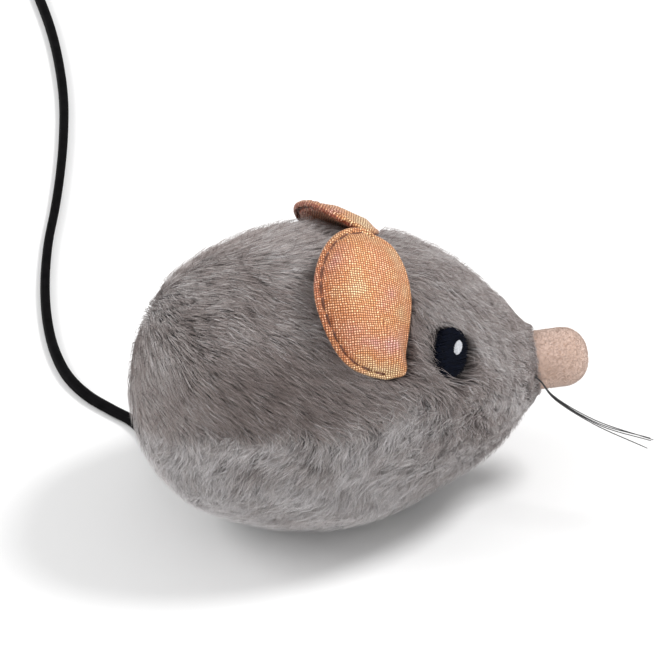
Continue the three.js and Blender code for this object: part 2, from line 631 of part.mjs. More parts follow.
function caseHalf(sign) {
  const between = (a, b) => [sign * a, sign * b].sort((p, q) => p - q);
  let half = plate(caseShape, ...between(GAP / 2, CASE.half), origin, 4);
  half = half.subtract(plate(hollowShape, ...between(-1, CASE.half - CASE.wall), origin, 4));
  for (const [x, z] of CASE_SCREWS) {
    half = half.add(rod(1.6, ...between(GAP / 2, CASE.half - 0.2), { x, z }));
    half = half.subtract(rod(1.1, ...between(-1, CASE.half + 1), { x, z }));
  }
  half = half.add(block(TAB.x0, TAB.x1, ...between(CASE.half - 0.5, TAB.y), CASE.z0, TAB.z1));
  const screwWay = new THREE.CylinderGeometry(1.2, 1.2, 9, 12).rotateX(Math.PI / 2);
  half = half.subtract(solid(screwWay.translate(PLATE_SCREW_X, sign * 7, CASE.z0)));
  for (const [at, r] of holes) half = half.subtract(rod(r + GAP, ...between(-1, CASE.half + 1), at));
  // A window in the floor, for the drive pinion's teeth
  half = half.subtract(rod(PINION_ROOM, LAYER.second[0] - 0.5, LAYER.second[1] + 0.5, DRIVE, 20));
  return half;
}
add('case_right', caseHalf(-1), FINISH.plastic);
add('case_left', caseHalf(1), FINISH.plastic);

// Screws with a round head and a cross slot
function screw(length, headR, headH, shankR) {
  const head = new THREE.CylinderGeometry(headR, headR, headH, 12).translate(0, headH / 2, 0);
  const shank = new THREE.CylinderGeometry(shankR, shankR, length, 10).translate(0, -length / 2 + 0.1, 0);
  const slot = (w, d) => new THREE.BoxGeometry(w, 0.5, d).translate(0, headH, 0);
  return solid(head)
    .add(solid(shank))
    .subtract(solid(slot(headR * 1.3, 0.4)))
    .subtract(solid(slot(0.4, headR * 1.3)));
}
CASE_SCREWS.forEach(([x, z], i) => {
  const placed = screw(2 * CASE.half - 0.8, 1.9, 0.9, 0.8)
    .rotate([180, 0, 0])
    .translate([x, -CASE.half - GAP, z]);
  add(`case_screw_${i + 1}`, placed, FINISH.steel);
});
[['right', -1], ['left', 1]].forEach(([side, sign]) => {
  const placed = screw(4.6, 1.8, 0.7, 0.85)
    .rotate([-90, 0, 0])
    .translate([PLATE_SCREW_X, sign * 7, PLATE.z0 - GAP]);
  add(`plate_screw_${side}`, placed, FINISH.steel);
});

let bellyPlate = raised(PLATE_OUTLINE, PLATE.z0, PLATE.z1);
for (const sign of [-1, 1]) {
  const screwWay = new THREE.CylinderGeometry(1.2, 1.2, 9, 12).rotateX(Math.PI / 2);
  bellyPlate = bellyPlate.subtract(solid(screwWay.translate(PLATE_SCREW_X, sign * 7, PLATE.z0)));
  const [y0, y1] = [sign * 3.2, sign * 4.3].sort((a, b) => a - b);
  bellyPlate = bellyPlate.add(block(ROLLER.x - ROLLER.lug, ROLLER.x + ROLLER.lug, y0, y1, PLATE.z0, 5));
}
bellyPlate = bellyPlate
  .subtract(block(ROLLER.x - 3.4, ROLLER.x + 3.4, -3.1, 3.1, -1, 9))
  .subtract(rod(ROLLER.pin + GAP, -6, 6, ROLLER));
add('belly_plate', bellyPlate, FINISH.plastic);
add('rear_roller', ring(ROLLER.r, ROLLER.pin + GAP, -ROLLER.half, ROLLER.half, ROLLER, 20), FINISH.nylon);
add('roller_pin', rod(ROLLER.pin, -4.7, 4.7, ROLLER), FINISH.steel);

export default mouse;
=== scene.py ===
# %% [markdown]
# # A plush clockwork mouse
# The mouse is a short grey pile fabric sewn round a filled body. It has two padded ears of
# shimmering cloth, stitched eyes, a flocked nose, thread whiskers and a leather lace for a tail.
# Inside is a wind-up motor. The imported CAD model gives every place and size. This lesson dresses
# it: the motor's parts keep their CAD shapes and get better finishes, and the soft pieces are
# made again in finer detail.

# %% Load the frame
import math

import bpy
import numpy as np
from mathutils import Matrix, Vector
from mathutils.bvhtree import BVHTree
from mathutils.kdtree import KDTree


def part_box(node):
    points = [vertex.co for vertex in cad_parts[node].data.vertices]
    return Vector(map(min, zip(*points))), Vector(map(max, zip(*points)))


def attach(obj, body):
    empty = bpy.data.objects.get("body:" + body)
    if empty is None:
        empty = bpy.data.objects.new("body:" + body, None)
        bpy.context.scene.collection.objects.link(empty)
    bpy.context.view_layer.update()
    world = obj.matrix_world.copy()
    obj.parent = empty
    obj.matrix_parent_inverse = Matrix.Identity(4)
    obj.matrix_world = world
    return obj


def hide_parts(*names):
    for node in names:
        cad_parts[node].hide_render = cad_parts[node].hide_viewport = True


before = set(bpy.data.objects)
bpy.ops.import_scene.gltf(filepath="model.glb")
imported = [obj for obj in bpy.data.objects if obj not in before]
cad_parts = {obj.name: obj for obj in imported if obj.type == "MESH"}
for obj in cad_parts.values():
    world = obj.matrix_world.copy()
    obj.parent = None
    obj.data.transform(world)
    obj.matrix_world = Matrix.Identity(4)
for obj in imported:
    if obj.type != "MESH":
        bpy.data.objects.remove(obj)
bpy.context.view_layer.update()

MM = 0.001

# %% [markdown]
# The camera looks down on the mouse's right flank from well away, through a long lens, so that
# sizes hardly change with distance. It is rolled a little, and the mouse rises towards its nose.

# %% Camera
ELEVATION = math.radians(35)
AZIMUTH = math.radians(-2)
ROLL = math.radians(6)
CAMERA_AWAY = 1.3
LOOKED_AT = Vector((-0.00901, 0.00411, 0.03576))

back = Vector((
    math.sin(AZIMUTH) * math.cos(ELEVATION),
    -math.cos(AZIMUTH) * math.cos(ELEVATION),
    math.sin(ELEVATION),
))
level = Vector((math.cos(AZIMUTH), math.sin(AZIMUTH), 0))
upright = back.cross(level)
right = level * math.cos(ROLL) - upright * math.sin(ROLL)
up = level * math.sin(ROLL) + upright * math.cos(ROLL)

camera = bpy.data.objects.new("camera", bpy.data.cameras.new("camera"))
bpy.context.scene.collection.objects.link(camera)
camera.data.sensor_width = 36
camera.data.lens = 350.3
camera.data.clip_start = 0.05
camera.data.clip_end = 20
camera.matrix_world = Matrix.Translation(LOOKED_AT + back * CAMERA_AWAY) @ Matrix(
    (right, up, back)).transposed().to_4x4()
bpy.context.scene.camera = camera
print("camera at", [round(x, 3) for x in camera.matrix_world.translation])

# %% [markdown]
# Helpers for the whole lesson: select one object alone, apply its modifiers, and say where a
# finished piece belongs. A piece rides on a body of the frame, takes its finish in a material slot,
# and may stand for CAD nodes, which then are not shown.

# %% Helpers for objects
def alone(piece):
    bpy.ops.object.select_all(action="DESELECT")
    piece.select_set(True)
    bpy.context.view_layer.objects.active = piece
    return piece


def apply_modifiers(piece):
    alone(piece)
    for modifier in list(piece.modifiers):
        bpy.ops.object.modifier_apply(modifier=modifier.name)


def place_in_mesh(piece):
    """Puts the object's place, turn and size into its mesh."""
    alone(piece)
    bpy.ops.object.transform_apply(location=True, rotation=True, scale=True)


def triangles(piece):
    piece.data.calc_loop_triangles()
    return len(piece.data.loop_triangles)


def settle(piece, name, finish, body="mouse", stands_for=()):
    """Names a finished piece, gives it its finish and ties it to its body."""
    piece.name = name
    piece.data.name = name
    piece.data.materials.clear()
    piece.data.materials.append(finish)
    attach(piece, body)
    if stands_for:
        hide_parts(*stands_for)
    print(f"{name}: {triangles(piece) if piece.type == 'MESH' else 0} triangles")
    return piece


def mesh_piece(name, points, faces):
    """A mesh object from points in metres and rows of corner numbers."""
    mesh = bpy.data.meshes.new(name)
    mesh.from_pydata([tuple(p) for p in points], [], [tuple(int(i) for i in f) for f in faces])
    mesh.update()
    piece = bpy.data.objects.new(name, mesh)
    bpy.context.scene.collection.objects.link(piece)
    return piece


def vertex_places(piece):
    places = np.zeros(len(piece.data.vertices) * 3)
    piece.data.vertices.foreach_get("co", places)
    return places.reshape(-1, 3)


def move_vertices(piece, places):
    piece.data.vertices.foreach_set("co", np.ascontiguousarray(places, np.float32).ravel())
    piece.data.update()

# %% [markdown]
# Materials are made of nodes. Two short helpers add a node and join sockets, and a third does
# sums. Patterns read Object coordinates, or a map that follows the piece, such as the weave of
# the ears. Numbers that are the same all over go straight on the shader.

# %% Helpers for materials
def new_finish(name, roughness=0.5, metallic=0.0, **settings):
    """A material and its shader. settings are further sockets of the shader, by name."""
    finish = bpy.data.materials.new(name)
    finish.use_nodes = True
    shader = finish.node_tree.nodes["Principled BSDF"]
    shader.inputs["Roughness"].default_value = roughness
    shader.inputs["Metallic"].default_value = metallic
    for key, value in settings.items():
        shader.inputs[key.replace("_", " ")].default_value = value
    return finish, shader


def node(finish, kind, **settings):
    made = finish.node_tree.nodes.new("ShaderNode" + kind)
    for key, value in settings.items():
        if hasattr(made, key):
            setattr(made, key, value)
        else:
            made.inputs[key.replace("_", " ")].default_value = value
    return made


def join(finish, source, target):
    finish.node_tree.links.new(source, target)


def sum_node(finish, operation, first, second=0.0):
    """One step of arithmetic on sockets or numbers."""
    step = node(finish, "Math", operation=operation)
    for socket, value in zip(step.inputs, (first, second)):
        if isinstance(value, (int, float)):
            socket.default_value = value
        else:
            join(finish, value, socket)
    return step.outputs[0]


def noise(finish, scale, detail=3.0, vector=None, roughness=0.5):
    made = node(finish, "TexNoise", Scale=scale, Detail=detail, Roughness=roughness)
    if vector is None:
        vector = node(finish, "TexCoord").outputs["Object"]
    join(finish, vector, made.inputs["Vector"])
    return made.outputs["Fac"]


def shades(finish, factor, *stops):
    """A colour ramp: stops are (place, (red, green, blue))."""
    ramp = node(finish, "ValToRGB")
    while len(ramp.color_ramp.elements) < len(stops):
        ramp.color_ramp.elements.new(0.5)
    for element, (place, colour) in zip(ramp.color_ramp.elements, stops):
        element.position = place
        element.color = (*colour, 1)
    join(finish, factor, ramp.inputs["Fac"])
    return ramp.outputs["Color"]


def bump(finish, shader, height, strength, distance):
    made = node(finish, "Bump", Strength=strength, Distance=distance)
    join(finish, height, made.inputs["Height"])
    join(finish, made.outputs["Normal"], shader.inputs["Normal"])

# %% [markdown]
# Curves through given points carry the body's outline, the ears' rims, the threads and the tail.
# The same formula serves all of them, open or closed.

# %% Smooth curve through points
def curve_through(points, at, closed=False, power=0.25):
    """Places on a smooth curve through points, at numbers from 0 to 1."""
    points = np.asarray(points, float)
    spans = len(points) if closed else len(points) - 1
    place = np.asarray(at, float) * spans
    first = np.clip(np.floor(place), 0, spans - 1).astype(int)
    t = (place - first)[:, None]
    if closed:
        row = [points[(first + k) % spans] for k in (-1, 0, 1, 2)]
    else:
        ends = np.vstack([2 * points[0] - points[1], points, 2 * points[-1] - points[-2]])
        row = [ends[first + k] for k in (0, 1, 2, 3)]
    before, start, end, after = row
    gaps = [(((b - a) ** 2).sum(1) ** power)[:, None] for a, b in zip(row, row[1:])]
    leave = (start - before) / gaps[0] - (end - before) / (gaps[0] + gaps[1]) + (end - start) / gaps[1]
    arrive = (end - start) / gaps[1] - (after - start) / (gaps[1] + gaps[2]) + (after - end) / gaps[2]
    leave = leave * gaps[1]
    arrive = arrive * gaps[1]
    return (start + leave * t + (3 * (end - start) - 2 * leave - arrive) * t ** 2
            + (2 * (start - end) + leave + arrive) * t ** 3)


def smooth_step(value):
    value = np.clip(value, 0, 1)
    return value * value * (3 - 2 * value)


def unit(vectors):
    return vectors / np.maximum(np.linalg.norm(vectors, axis=-1, keepdims=True), 1e-12)

# %% [markdown]
# Threads, stitches and whiskers are thin round rods along a path, with closed, slightly tapered
# ends. One function makes a whole set of them as one mesh. The section may also be given, which
# the flat lace of the tail uses.

# %% Rods along paths
def rod_mesh(name, paths, section, taper=0.5):
    """paths: rows of places. section: places of the section's corners in metres, (across, up)."""
    section = np.asarray(section, float)
    sides = len(section)
    points, faces = [], []
    for path in paths:
        path = np.asarray(path, float)
        along = unit(np.gradient(path, axis=0))
        up_way = np.array([0, 0, 1.0]) if abs(along[0][2]) < 0.9 else np.array([1.0, 0, 0])
        start = len(points)
        for i, (place, way) in enumerate(zip(path, along)):
            across = unit(np.cross(way, up_way))
            up_way = unit(np.cross(across, way))
            size = taper if i in (0, len(path) - 1) else 1
            for a, b in section * size:
                points.append(place + across * a + up_way * b)
        for i in range(len(path) - 1):
            for k in range(sides):
                a = start + i * sides + k
                b = start + i * sides + (k + 1) % sides
                faces.append((a, b, b + sides, a + sides))
        faces.append([start + k for k in reversed(range(sides))])
        faces.append([start + (len(path) - 1) * sides + k for k in range(sides)])
    piece = mesh_piece(name, points, faces)
    alone(piece)
    bpy.ops.object.mode_set(mode="EDIT")
    bpy.ops.mesh.select_all(action="SELECT")
    bpy.ops.mesh.normals_make_consistent(inside=False)
    bpy.ops.object.mode_set(mode="OBJECT")
    bpy.ops.object.shade_smooth()
    return piece


def round_section(radius, sides=6):
    turns = np.arange(sides) / sides * 2 * np.pi
    return np.stack([np.cos(turns), np.sin(turns)], 1) * radius

# %% [markdown]
# ## The tail
# The tail is a flat leather lace, 2.4 mm wide, cut square and sewn into the rear seam. It drops to
# the ground inside the pile and then lies on it in one long loose curve, away to the mouse's left.
# It lies on one of its edges, so that two of its faces show, one lit and one dark. The section is
# a square with worn corners, turned half way.

# %% Tail lace
LACE_ROUTE = np.array([
    (-39.6, 2.5, 13.4), (-42.6, 4.6, 11.2), (-45.0, 7.8, 7.6), (-46.4, 12.2, 3.6), (-47.2, 17.6, 1.5),
    (-48.6, 24.4, 1.2), (-51.2, 31.2, 1.2), (-55.4, 36.4, 1.2), (-59.8, 42.2, 1.2), (-63.4, 49.6, 1.2),
    (-65.6, 58.8, 1.2), (-66.6, 70.0, 1.2), (-66.4, 84.0, 1.2), (-64.8, 100.0, 1.2), (-62.4, 114.0, 1.2),
    (-60.4, 128.0, 1.2), (-58.9, 142.0, 1.2), (-58.0, 157.0, 1.2), (-58.2, 173.0, 1.2),
    (-59.2, 187.0, 1.2), (-60.9, 200.0, 1.2), (-61.6, 205.0, 1.2),
]) * MM
LACE_WIDE = 2.4 * MM
LACE_STEPS = 220

leather, leather_shader = new_finish("lace_leather", roughness=0.42)
leather_shader.inputs["Specular IOR Level"].default_value = 0.03
grain = noise(leather, 2600, 4)
creases = noise(leather, 420, 2)
join(leather, shades(leather, creases, (0.3, (0.0014, 0.0014, 0.0016)), (0.7, (0.0048, 0.0044, 0.005))),
     leather_shader.inputs["Base Color"])
join(leather, sum_node(leather, "MULTIPLY_ADD", grain, 0.25), leather_shader.inputs["Roughness"])
bump(leather, leather_shader, grain, 0.5, 0.00006)

lace_path = curve_through(LACE_ROUTE, np.linspace(0, 1, LACE_STEPS))
lace_corners = []
for i in range(20):
    turn = i / 20 * 2 * math.pi
    reach = 1 / (abs(math.cos(turn)) ** 1.45 + abs(math.sin(turn)) ** 1.45) ** (1 / 1.45)
    lace_corners.append((LACE_WIDE / 2 * reach * math.cos(turn), 1.0 * MM * reach * math.sin(turn)))
lace = rod_mesh("tail", [lace_path], lace_corners, taper=0.94)
settle(lace, "tail", leather, stands_for=["tail_lace"])

# %% [markdown]
# ## The body's shape
# The body is round in section, like an egg laid on its side, and pressed flat under the belly. Its
# outline is turned round the long axis with Spin, drooped at both ends and flattened. The same
# function makes the outside of the pile, which guides the hairs, and the backing cloth under it.

# %% Turned body skin
BODY_Z = 29.5 * MM
BELLY_Z = 0.9 * MM
BODY_OUTLINE = np.array([
    (-51, 0), (-50.4, 7), (-48.2, 13.2), (-44, 19.8), (-38, 24.7), (-30, 28.1), (-22, 30.3),
    (-14, 31), (-6, 30.3), (2, 28), (10, 24.5), (17, 20.7), (23, 15.4), (27.5, 10.4), (30.8, 7.4),
]) * MM
NOSE_COLLAR = 6.6 * MM
SKIN_STEPS = 60
SKIN_TURNS = 96


def axis_z(x):
    rear = np.maximum(0, (-38 * MM - x) / (13 * MM))
    return BODY_Z - 1.9 * MM * rear ** 2 - 3 * MM * smooth_step((x - 8 * MM) / (20 * MM))


def body_skin(name, inset):
    """The body's surface, some way under the tips of the pile, as an open-fronted shell."""
    at = curve_through(BODY_OUTLINE, np.linspace(0, 1, SKIN_STEPS), power=0)
    way = unit(np.gradient(at, axis=0))
    x = at[:, 0] + way[:, 1] * inset
    r = np.maximum(at[:, 1] - way[:, 0] * inset, np.where(at[:, 0] > 20 * MM, NOSE_COLLAR, 0.5 * MM))
    r[0] = 0
    mesh = bpy.data.meshes.new(name)
    mesh.from_pydata([(a, b, 0) for a, b in zip(x, r)], [(i, i + 1) for i in range(len(x) - 1)], [])
    skin = bpy.data.objects.new(name, mesh)
    bpy.context.scene.collection.objects.link(skin)
    alone(skin)
    bpy.ops.object.mode_set(mode="EDIT")
    bpy.ops.mesh.select_all(action="SELECT")
    bpy.ops.mesh.spin(steps=SKIN_TURNS, angle=2 * math.pi, center=(0, 0, 0), axis=(1, 0, 0))
    bpy.ops.mesh.select_all(action="SELECT")
    bpy.ops.mesh.remove_doubles(threshold=1e-6)
    bpy.ops.mesh.normals_make_consistent(inside=False)
    bpy.ops.object.mode_set(mode="OBJECT")
    places = vertex_places(skin)
    places[:, 2] = np.maximum(places[:, 2] + axis_z(places[:, 0]), BELLY_Z + inset)
    move_vertices(skin, places)
    return skin

# %% [markdown]
# ## The ears
# Each ear is two layers of cloth sewn at the rim and lightly filled: a padded leaf that leans back
# from a line across the head, with its tip at the crown. A sphere is pulled onto the leaf, point by
# point. Just inside the free rim a line of stitches holds both layers, so the cloth sinks there and
# rolls up outside it. Two layers on one closed form are simpler than two sheets and look the same.

# %% Leaf of the ear
EAR_ARC = 0.55 * MM
FLAT_UNITS = np.array([MM, EAR_ARC, MM])
RIGHT, LEFT = -1, 1
# Rim of each leaf: along the body, degrees round it, and out from its axis
EAR_OUTLINE = {
    RIGHT: np.array([
        (5.6, 50, 24.6), (3.8, 37, 24.6), (3.0, 28.5, 25.6), (-3.6, 31.5, 29), (-8.6, 38, 31.8),
        (-11.8, 50, 34.4), (-12.8, 62, 35.2), (-11.2, 73, 35.8), (-7.8, 82, 36), (-3.8, 87.2, 35),
        (0.2, 87.8, 33.4), (3.9, 85.6, 30.8), (6.2, 78, 27.6), (6.8, 64, 24.8),
    ]) * FLAT_UNITS,
    LEFT: np.array([
        (2.2, 50, 25.6), (0.8, 37, 25.4), (-0.4, 28.5, 26.8), (-5.0, 25.6, 29.8), (-10.0, 28.5, 32.4),
        (-13.2, 36.5, 33.8), (-13.6, 47, 34.4), (-12.0, 57, 34.5), (-9.8, 67, 34.4), (-7.4, 76, 34.0),
        (-4.8, 83, 33.4), (-2.0, 86, 32.0), (1.0, 83.5, 29.6), (2.8, 68, 26.4),
    ]) * FLAT_UNITS,
}
EAR_MIDDLE = {
    RIGHT: np.array([-2.6, 59, 32]) * FLAT_UNITS,
    LEFT: np.array([-5.4, 55, 30.2]) * FLAT_UNITS,
}
SEWN_FROM = 2.55 / 14
SEWN_TO = 9.9 / 14
STITCH_IN = 1.45 * MM
STITCH_PITCH = 3.5 * MM
TUCK = 0.9 * MM  # the edge that goes into the fur is drawn in by this much


def leaf_slope(side):
    """How fast the rim rises along the body and round it: its own best plane."""
    off = EAR_OUTLINE[side] - EAR_MIDDLE[side]
    return np.linalg.lstsq(off[:, :2], off[:, 2], rcond=None)[0]


def leaf_flat(side, across, up_leaf):
    """Place on the leaf laid flat: along the body, round it, and out from its axis."""
    reach = np.hypot(across, up_leaf)
    turn = (np.arctan2(up_leaf, across) / (2 * np.pi)) % 1
    way = curve_through(EAR_OUTLINE[side], turn, closed=True) - EAR_MIDDLE[side]
    width = np.linalg.norm(way, axis=1)
    way = way * (1 - TUCK * (1 - sewn(turn)) / width)[:, None]
    flat = EAR_MIDDLE[side] + reach[:, None] * way
    # The rise is even near the middle, and only bends towards the rim's own height further out
    even = (way[:, :2] * leaf_slope(side)).sum(1)
    flat[:, 2] = EAR_MIDDLE[side][2] + reach * even + reach ** 2 * (way[:, 2] - even)
    return flat, turn, width


def leaf_place(side, across, up_leaf):
    flat, _, _ = leaf_flat(side, across, up_leaf)
    angle = np.radians(flat[:, 1] / EAR_ARC)
    return np.stack([flat[:, 0], side * flat[:, 2] * np.cos(angle), BODY_Z + flat[:, 2] * np.sin(angle)], 1)


def leaf_normal(side, across, up_leaf):
    pull, step = 0.97, 0.02
    ahead = (leaf_place(side, across * pull + step, up_leaf * pull)
             - leaf_place(side, across * pull - step, up_leaf * pull))
    round_it = (leaf_place(side, across * pull, up_leaf * pull + step)
                - leaf_place(side, across * pull, up_leaf * pull - step))
    out = unit(np.cross(ahead, round_it))
    place = leaf_place(side, across, up_leaf)
    outwards = np.stack([np.zeros(len(out)), place[:, 1], place[:, 2] - BODY_Z], 1)
    return out * np.sign((out * outwards).sum(1))[:, None]


def sewn(turn):
    """1 where the stitch line runs, 0 on the edge that goes into the fur."""
    return smooth_step((turn - SEWN_FROM + 0.02) / 0.03) * smooth_step((SEWN_TO + 0.02 - turn) / 0.03)


rim_turns = np.linspace(0, 1, 1401)
rim_run = {}
for side in (RIGHT, LEFT):
    rim_flat = curve_through(EAR_OUTLINE[side], rim_turns, closed=True)
    rim_run[side] = np.concatenate([[0], np.cumsum(np.linalg.norm(np.diff(rim_flat, axis=0), axis=1))])
print("ear rims in millimetres:", [round(run[-1] / MM, 1) for run in rim_run.values()])


def cloth_height(side, turn, inside, puff):
    """Half thickness of the padded leaf, a distance inside its rim."""
    roll = 0.72 * MM * np.sqrt(1 - (1 - np.clip(inside / (0.8 * MM), 0, 1)) ** 2)
    free = sewn(turn)
    run = np.interp(turn, rim_turns, rim_run[side])
    pucker = 1 + 0.35 * np.cos(2 * np.pi * run / STITCH_PITCH)
    groove = 0.6 * MM * free * pucker * np.exp(-((inside - STITCH_IN) / (0.4 * MM)) ** 2)
    ripples = 0.12 * MM * free * np.cos(2 * np.pi * run / STITCH_PITCH) * np.exp(-inside / (2.4 * MM))
    swell = puff * smooth_step((inside - 0.9 * MM) / (5.2 * MM)) ** 0.8
    return roll - groove + swell - ripples * smooth_step(inside / (0.6 * MM))


EAR_PUFF = {1: 1.0 * MM, -1: 0.5 * MM}


def make_ear(side, name):
    bpy.ops.object.select_all(action="DESELECT")
    bpy.ops.mesh.primitive_uv_sphere_add(segments=176, ring_count=88, radius=1)
    piece = bpy.context.active_object
    ball = vertex_places(piece)
    reach = np.minimum(np.hypot(ball[:, 0], ball[:, 1]), 1)
    # Rings are moved towards the rim, where the fold and the stitches are
    wanted = 1 - (1 - reach) ** 0.8
    grow = np.where(reach > 1e-9, wanted / np.maximum(reach, 1e-9), 1)
    across, up_leaf = ball[:, 0] * grow, ball[:, 1] * grow
    flat, turn, width = leaf_flat(side, across, up_leaf)
    inside = (1 - np.hypot(across, up_leaf)) * width
    level_side = np.sign(np.round(ball[:, 2], 6))
    puff = np.where(level_side > 0, EAR_PUFF[1], EAR_PUFF[-1])
    off = level_side * cloth_height(side, turn, inside, puff)
    places = leaf_place(side, across, up_leaf) + leaf_normal(side, across, up_leaf) * off[:, None]
    move_vertices(piece, places)
    if side < 0:
        alone(piece)
        bpy.ops.object.mode_set(mode="EDIT")
        bpy.ops.mesh.select_all(action="SELECT")
        bpy.ops.mesh.normals_make_consistent(inside=False)
        bpy.ops.object.mode_set(mode="OBJECT")
    centres = np.array([level_side[list(face.vertices)].mean() for face in piece.data.polygons])
    piece["inner"] = [int(c < 0) for c in centres]
    # The weave follows the leaf: its map is the flat leaf in steps of one weave pitch
    weave_map = piece.data.uv_layers[0]
    weave_map.name = "weave"
    corners = np.zeros(len(piece.data.loops), np.int32)
    piece.data.loops.foreach_get("vertex_index", corners)
    flat_map = flat[corners][:, :2] / WEAVE_PITCH
    weave_map.data.foreach_set("uv", flat_map.astype(np.float32).ravel())
    alone(piece)
    bpy.ops.object.shade_smooth()
    piece.name = name
    return piece

# %% [markdown]
# The ear cloth is woven from fine orange yarn with a metallic shimmer. The two sets of yarns cross
# every half millimetre. Each crossing is painted as a small bright pad, a painted highlight, and the
# gaps between are painted darker, as painted shade. A slow change of tint, from lilac to yellow, is
# painted shimmer: fixed patches of colour that stand in for the cloth's changing sheen. Pale specks
# painted on some crossings are painted glints. The roughness falls on top of the yarns, so they
# glint.

# %% Shimmering cloth
WEAVE_PITCH = 0.44 * MM
shimmer, shimmer_shader = new_finish("shimmer_cloth", roughness=0.4, metallic=0.35)
shimmer_shader.inputs["Sheen Weight"].default_value = 0.35
shimmer_shader.inputs["Sheen Roughness"].default_value = 0.4
shimmer_shader.inputs["Sheen Tint"].default_value = (1, 0.8, 0.6, 1)
weave_uv = node(shimmer, "UVMap", uv_map="weave").outputs["UV"]
split_uv = node(shimmer, "SeparateXYZ")
join(shimmer, weave_uv, split_uv.inputs[0])
wobble = noise(shimmer, 300, 2)
wobble = sum_node(shimmer, "MULTIPLY", sum_node(shimmer, "SUBTRACT", wobble, 0.5), 1.2)
yarn_u = sum_node(shimmer, "MULTIPLY", sum_node(shimmer, "ADD", split_uv.outputs["X"], wobble), 2 * math.pi)
yarn_v = sum_node(shimmer, "MULTIPLY", sum_node(shimmer, "ADD", split_uv.outputs["Y"], wobble), 2 * math.pi)
warp = sum_node(shimmer, "MULTIPLY_ADD", sum_node(shimmer, "SINE", yarn_u), 0.5)
weft = sum_node(shimmer, "MULTIPLY_ADD", sum_node(shimmer, "SINE", yarn_v), 0.5)
for step in (warp.node, weft.node):
    step.inputs[2].default_value = 0.5
crossing = sum_node(shimmer, "MULTIPLY", warp, weft)
yarns = sum_node(shimmer, "POWER", crossing, 0.75)
# Orange cloth colour with painted shimmer: lilac and yellow patches stand in for the changing sheen of the metallic
# cloth
cloth_and_painted_shimmer_tint = shades(
    shimmer, noise(shimmer, 95, 2),
    (0.34, (0.86, 0.46, 0.50)), (0.44, (0.94, 0.40, 0.22)), (0.54, (0.96, 0.40, 0.15)),
    (0.66, (1.0, 0.72, 0.38)),
)
# Painted highlight and shade: the yarn crossings take the bright tint, and the gaps between are painted near
# black-brown
painted_weave_shade_mix = node(shimmer, "Mix", data_type="RGBA")
join(shimmer, yarns, painted_weave_shade_mix.inputs["Factor"])
painted_weave_shade_mix.inputs[6].default_value = (0.22, 0.06, 0.018, 1)
join(shimmer, cloth_and_painted_shimmer_tint, painted_weave_shade_mix.inputs[7])
# Painted shade: the cloth is painted darker towards the rear rim, where it rolls over, and a little lighter and
# cooler towards the front
painted_rim_shade_ramp = sum_node(shimmer, "MULTIPLY_ADD", split_uv.outputs["X"], 0.055)
painted_rim_shade_ramp.node.inputs[2].default_value = 1.55
painted_rim_shade_mix = node(shimmer, "Mix", data_type="RGBA", blend_type="MULTIPLY", Factor=1.0)
join(shimmer, painted_weave_shade_mix.outputs[2], painted_rim_shade_mix.inputs[6])
join(shimmer, shades(shimmer, painted_rim_shade_ramp, (0.0, (0.66, 0.54, 0.48)), (1.0, (1.0, 1.1, 1.16))),
     painted_rim_shade_mix.inputs[7])
# Painted glints: pale specks added to the colour on some yarn crossings
painted_glint_mix = node(shimmer, "Mix", data_type="RGBA", blend_type="ADD")
painted_glint_speck = sum_node(shimmer, "MULTIPLY", sum_node(shimmer, "GREATER_THAN", noise(shimmer, 2600, 1), 0.55), crossing)
join(shimmer, sum_node(shimmer, "MULTIPLY", painted_glint_speck, 0.6), painted_glint_mix.inputs["Factor"])
join(shimmer, painted_rim_shade_mix.outputs[2], painted_glint_mix.inputs[6])
painted_glint_mix.inputs[7].default_value = (1.0, 0.86, 0.62, 1)
join(shimmer, painted_glint_mix.outputs[2], shimmer_shader.inputs["Base Color"])
rough = sum_node(shimmer, "MULTIPLY_ADD", yarns, -0.25)
rough.node.inputs[2].default_value = 0.62
join(shimmer, rough, shimmer_shader.inputs["Roughness"])
bump(shimmer, shimmer_shader, yarns, 0.55, 0.00012)

# Painted shade: the lining is a copy of the cloth with all its colours made darker brown, for the ear's inner face,
# which faces the body; it has less metal and sheen
shaded_lining = shimmer.copy()
shaded_lining.name = "ear_lining_painted_shade"
for made in shaded_lining.node_tree.nodes:
    if made.type == "VALTORGB":
        for element in made.color_ramp.elements:
            element.color = (0.6, 0.25, 0.10, 1) if element.position < 0.5 else (0.7, 0.31, 0.13, 1)
    if made.type == "BSDF_PRINCIPLED":
        made.inputs["Metallic"].default_value = 0.1
        made.inputs["Sheen Weight"].default_value = 0.1

ears = {}
for side, word in ((-1, "right"), (1, "left")):
    made = make_ear(side, f"ear_{word}")
    settle(made, f"ear_{word}", shimmer,
           stands_for=[f"ear_{word}_front", f"ear_{word}_back"])
    made.data.materials.append(shaded_lining)
    made.data.polygons.foreach_set("material_index", made["inner"].to_list())
    del made["inner"]
    ears[word] = made

# %% [markdown]
# The stitches are short lengths of brown thread that lie in the groove and dip into the cloth at
# both ends. They show on both faces of the ear, a few tenths of a millimetre proud of the groove.

# %% Ear stitches
STITCH_R = 0.21 * MM
stitch_thread, stitch_shader = new_finish("ear_stitch_thread", roughness=0.6)
stitch_shader.inputs["Sheen Weight"].default_value = 0.4
twist = noise(stitch_thread, 3000, 2)
join(stitch_thread, shades(stitch_thread, twist, (0.35, (0.06, 0.016, 0.006)), (0.65, (0.20, 0.055, 0.018))),
     stitch_shader.inputs["Base Color"])
bump(stitch_thread, stitch_shader, twist, 0.6, 0.00005)


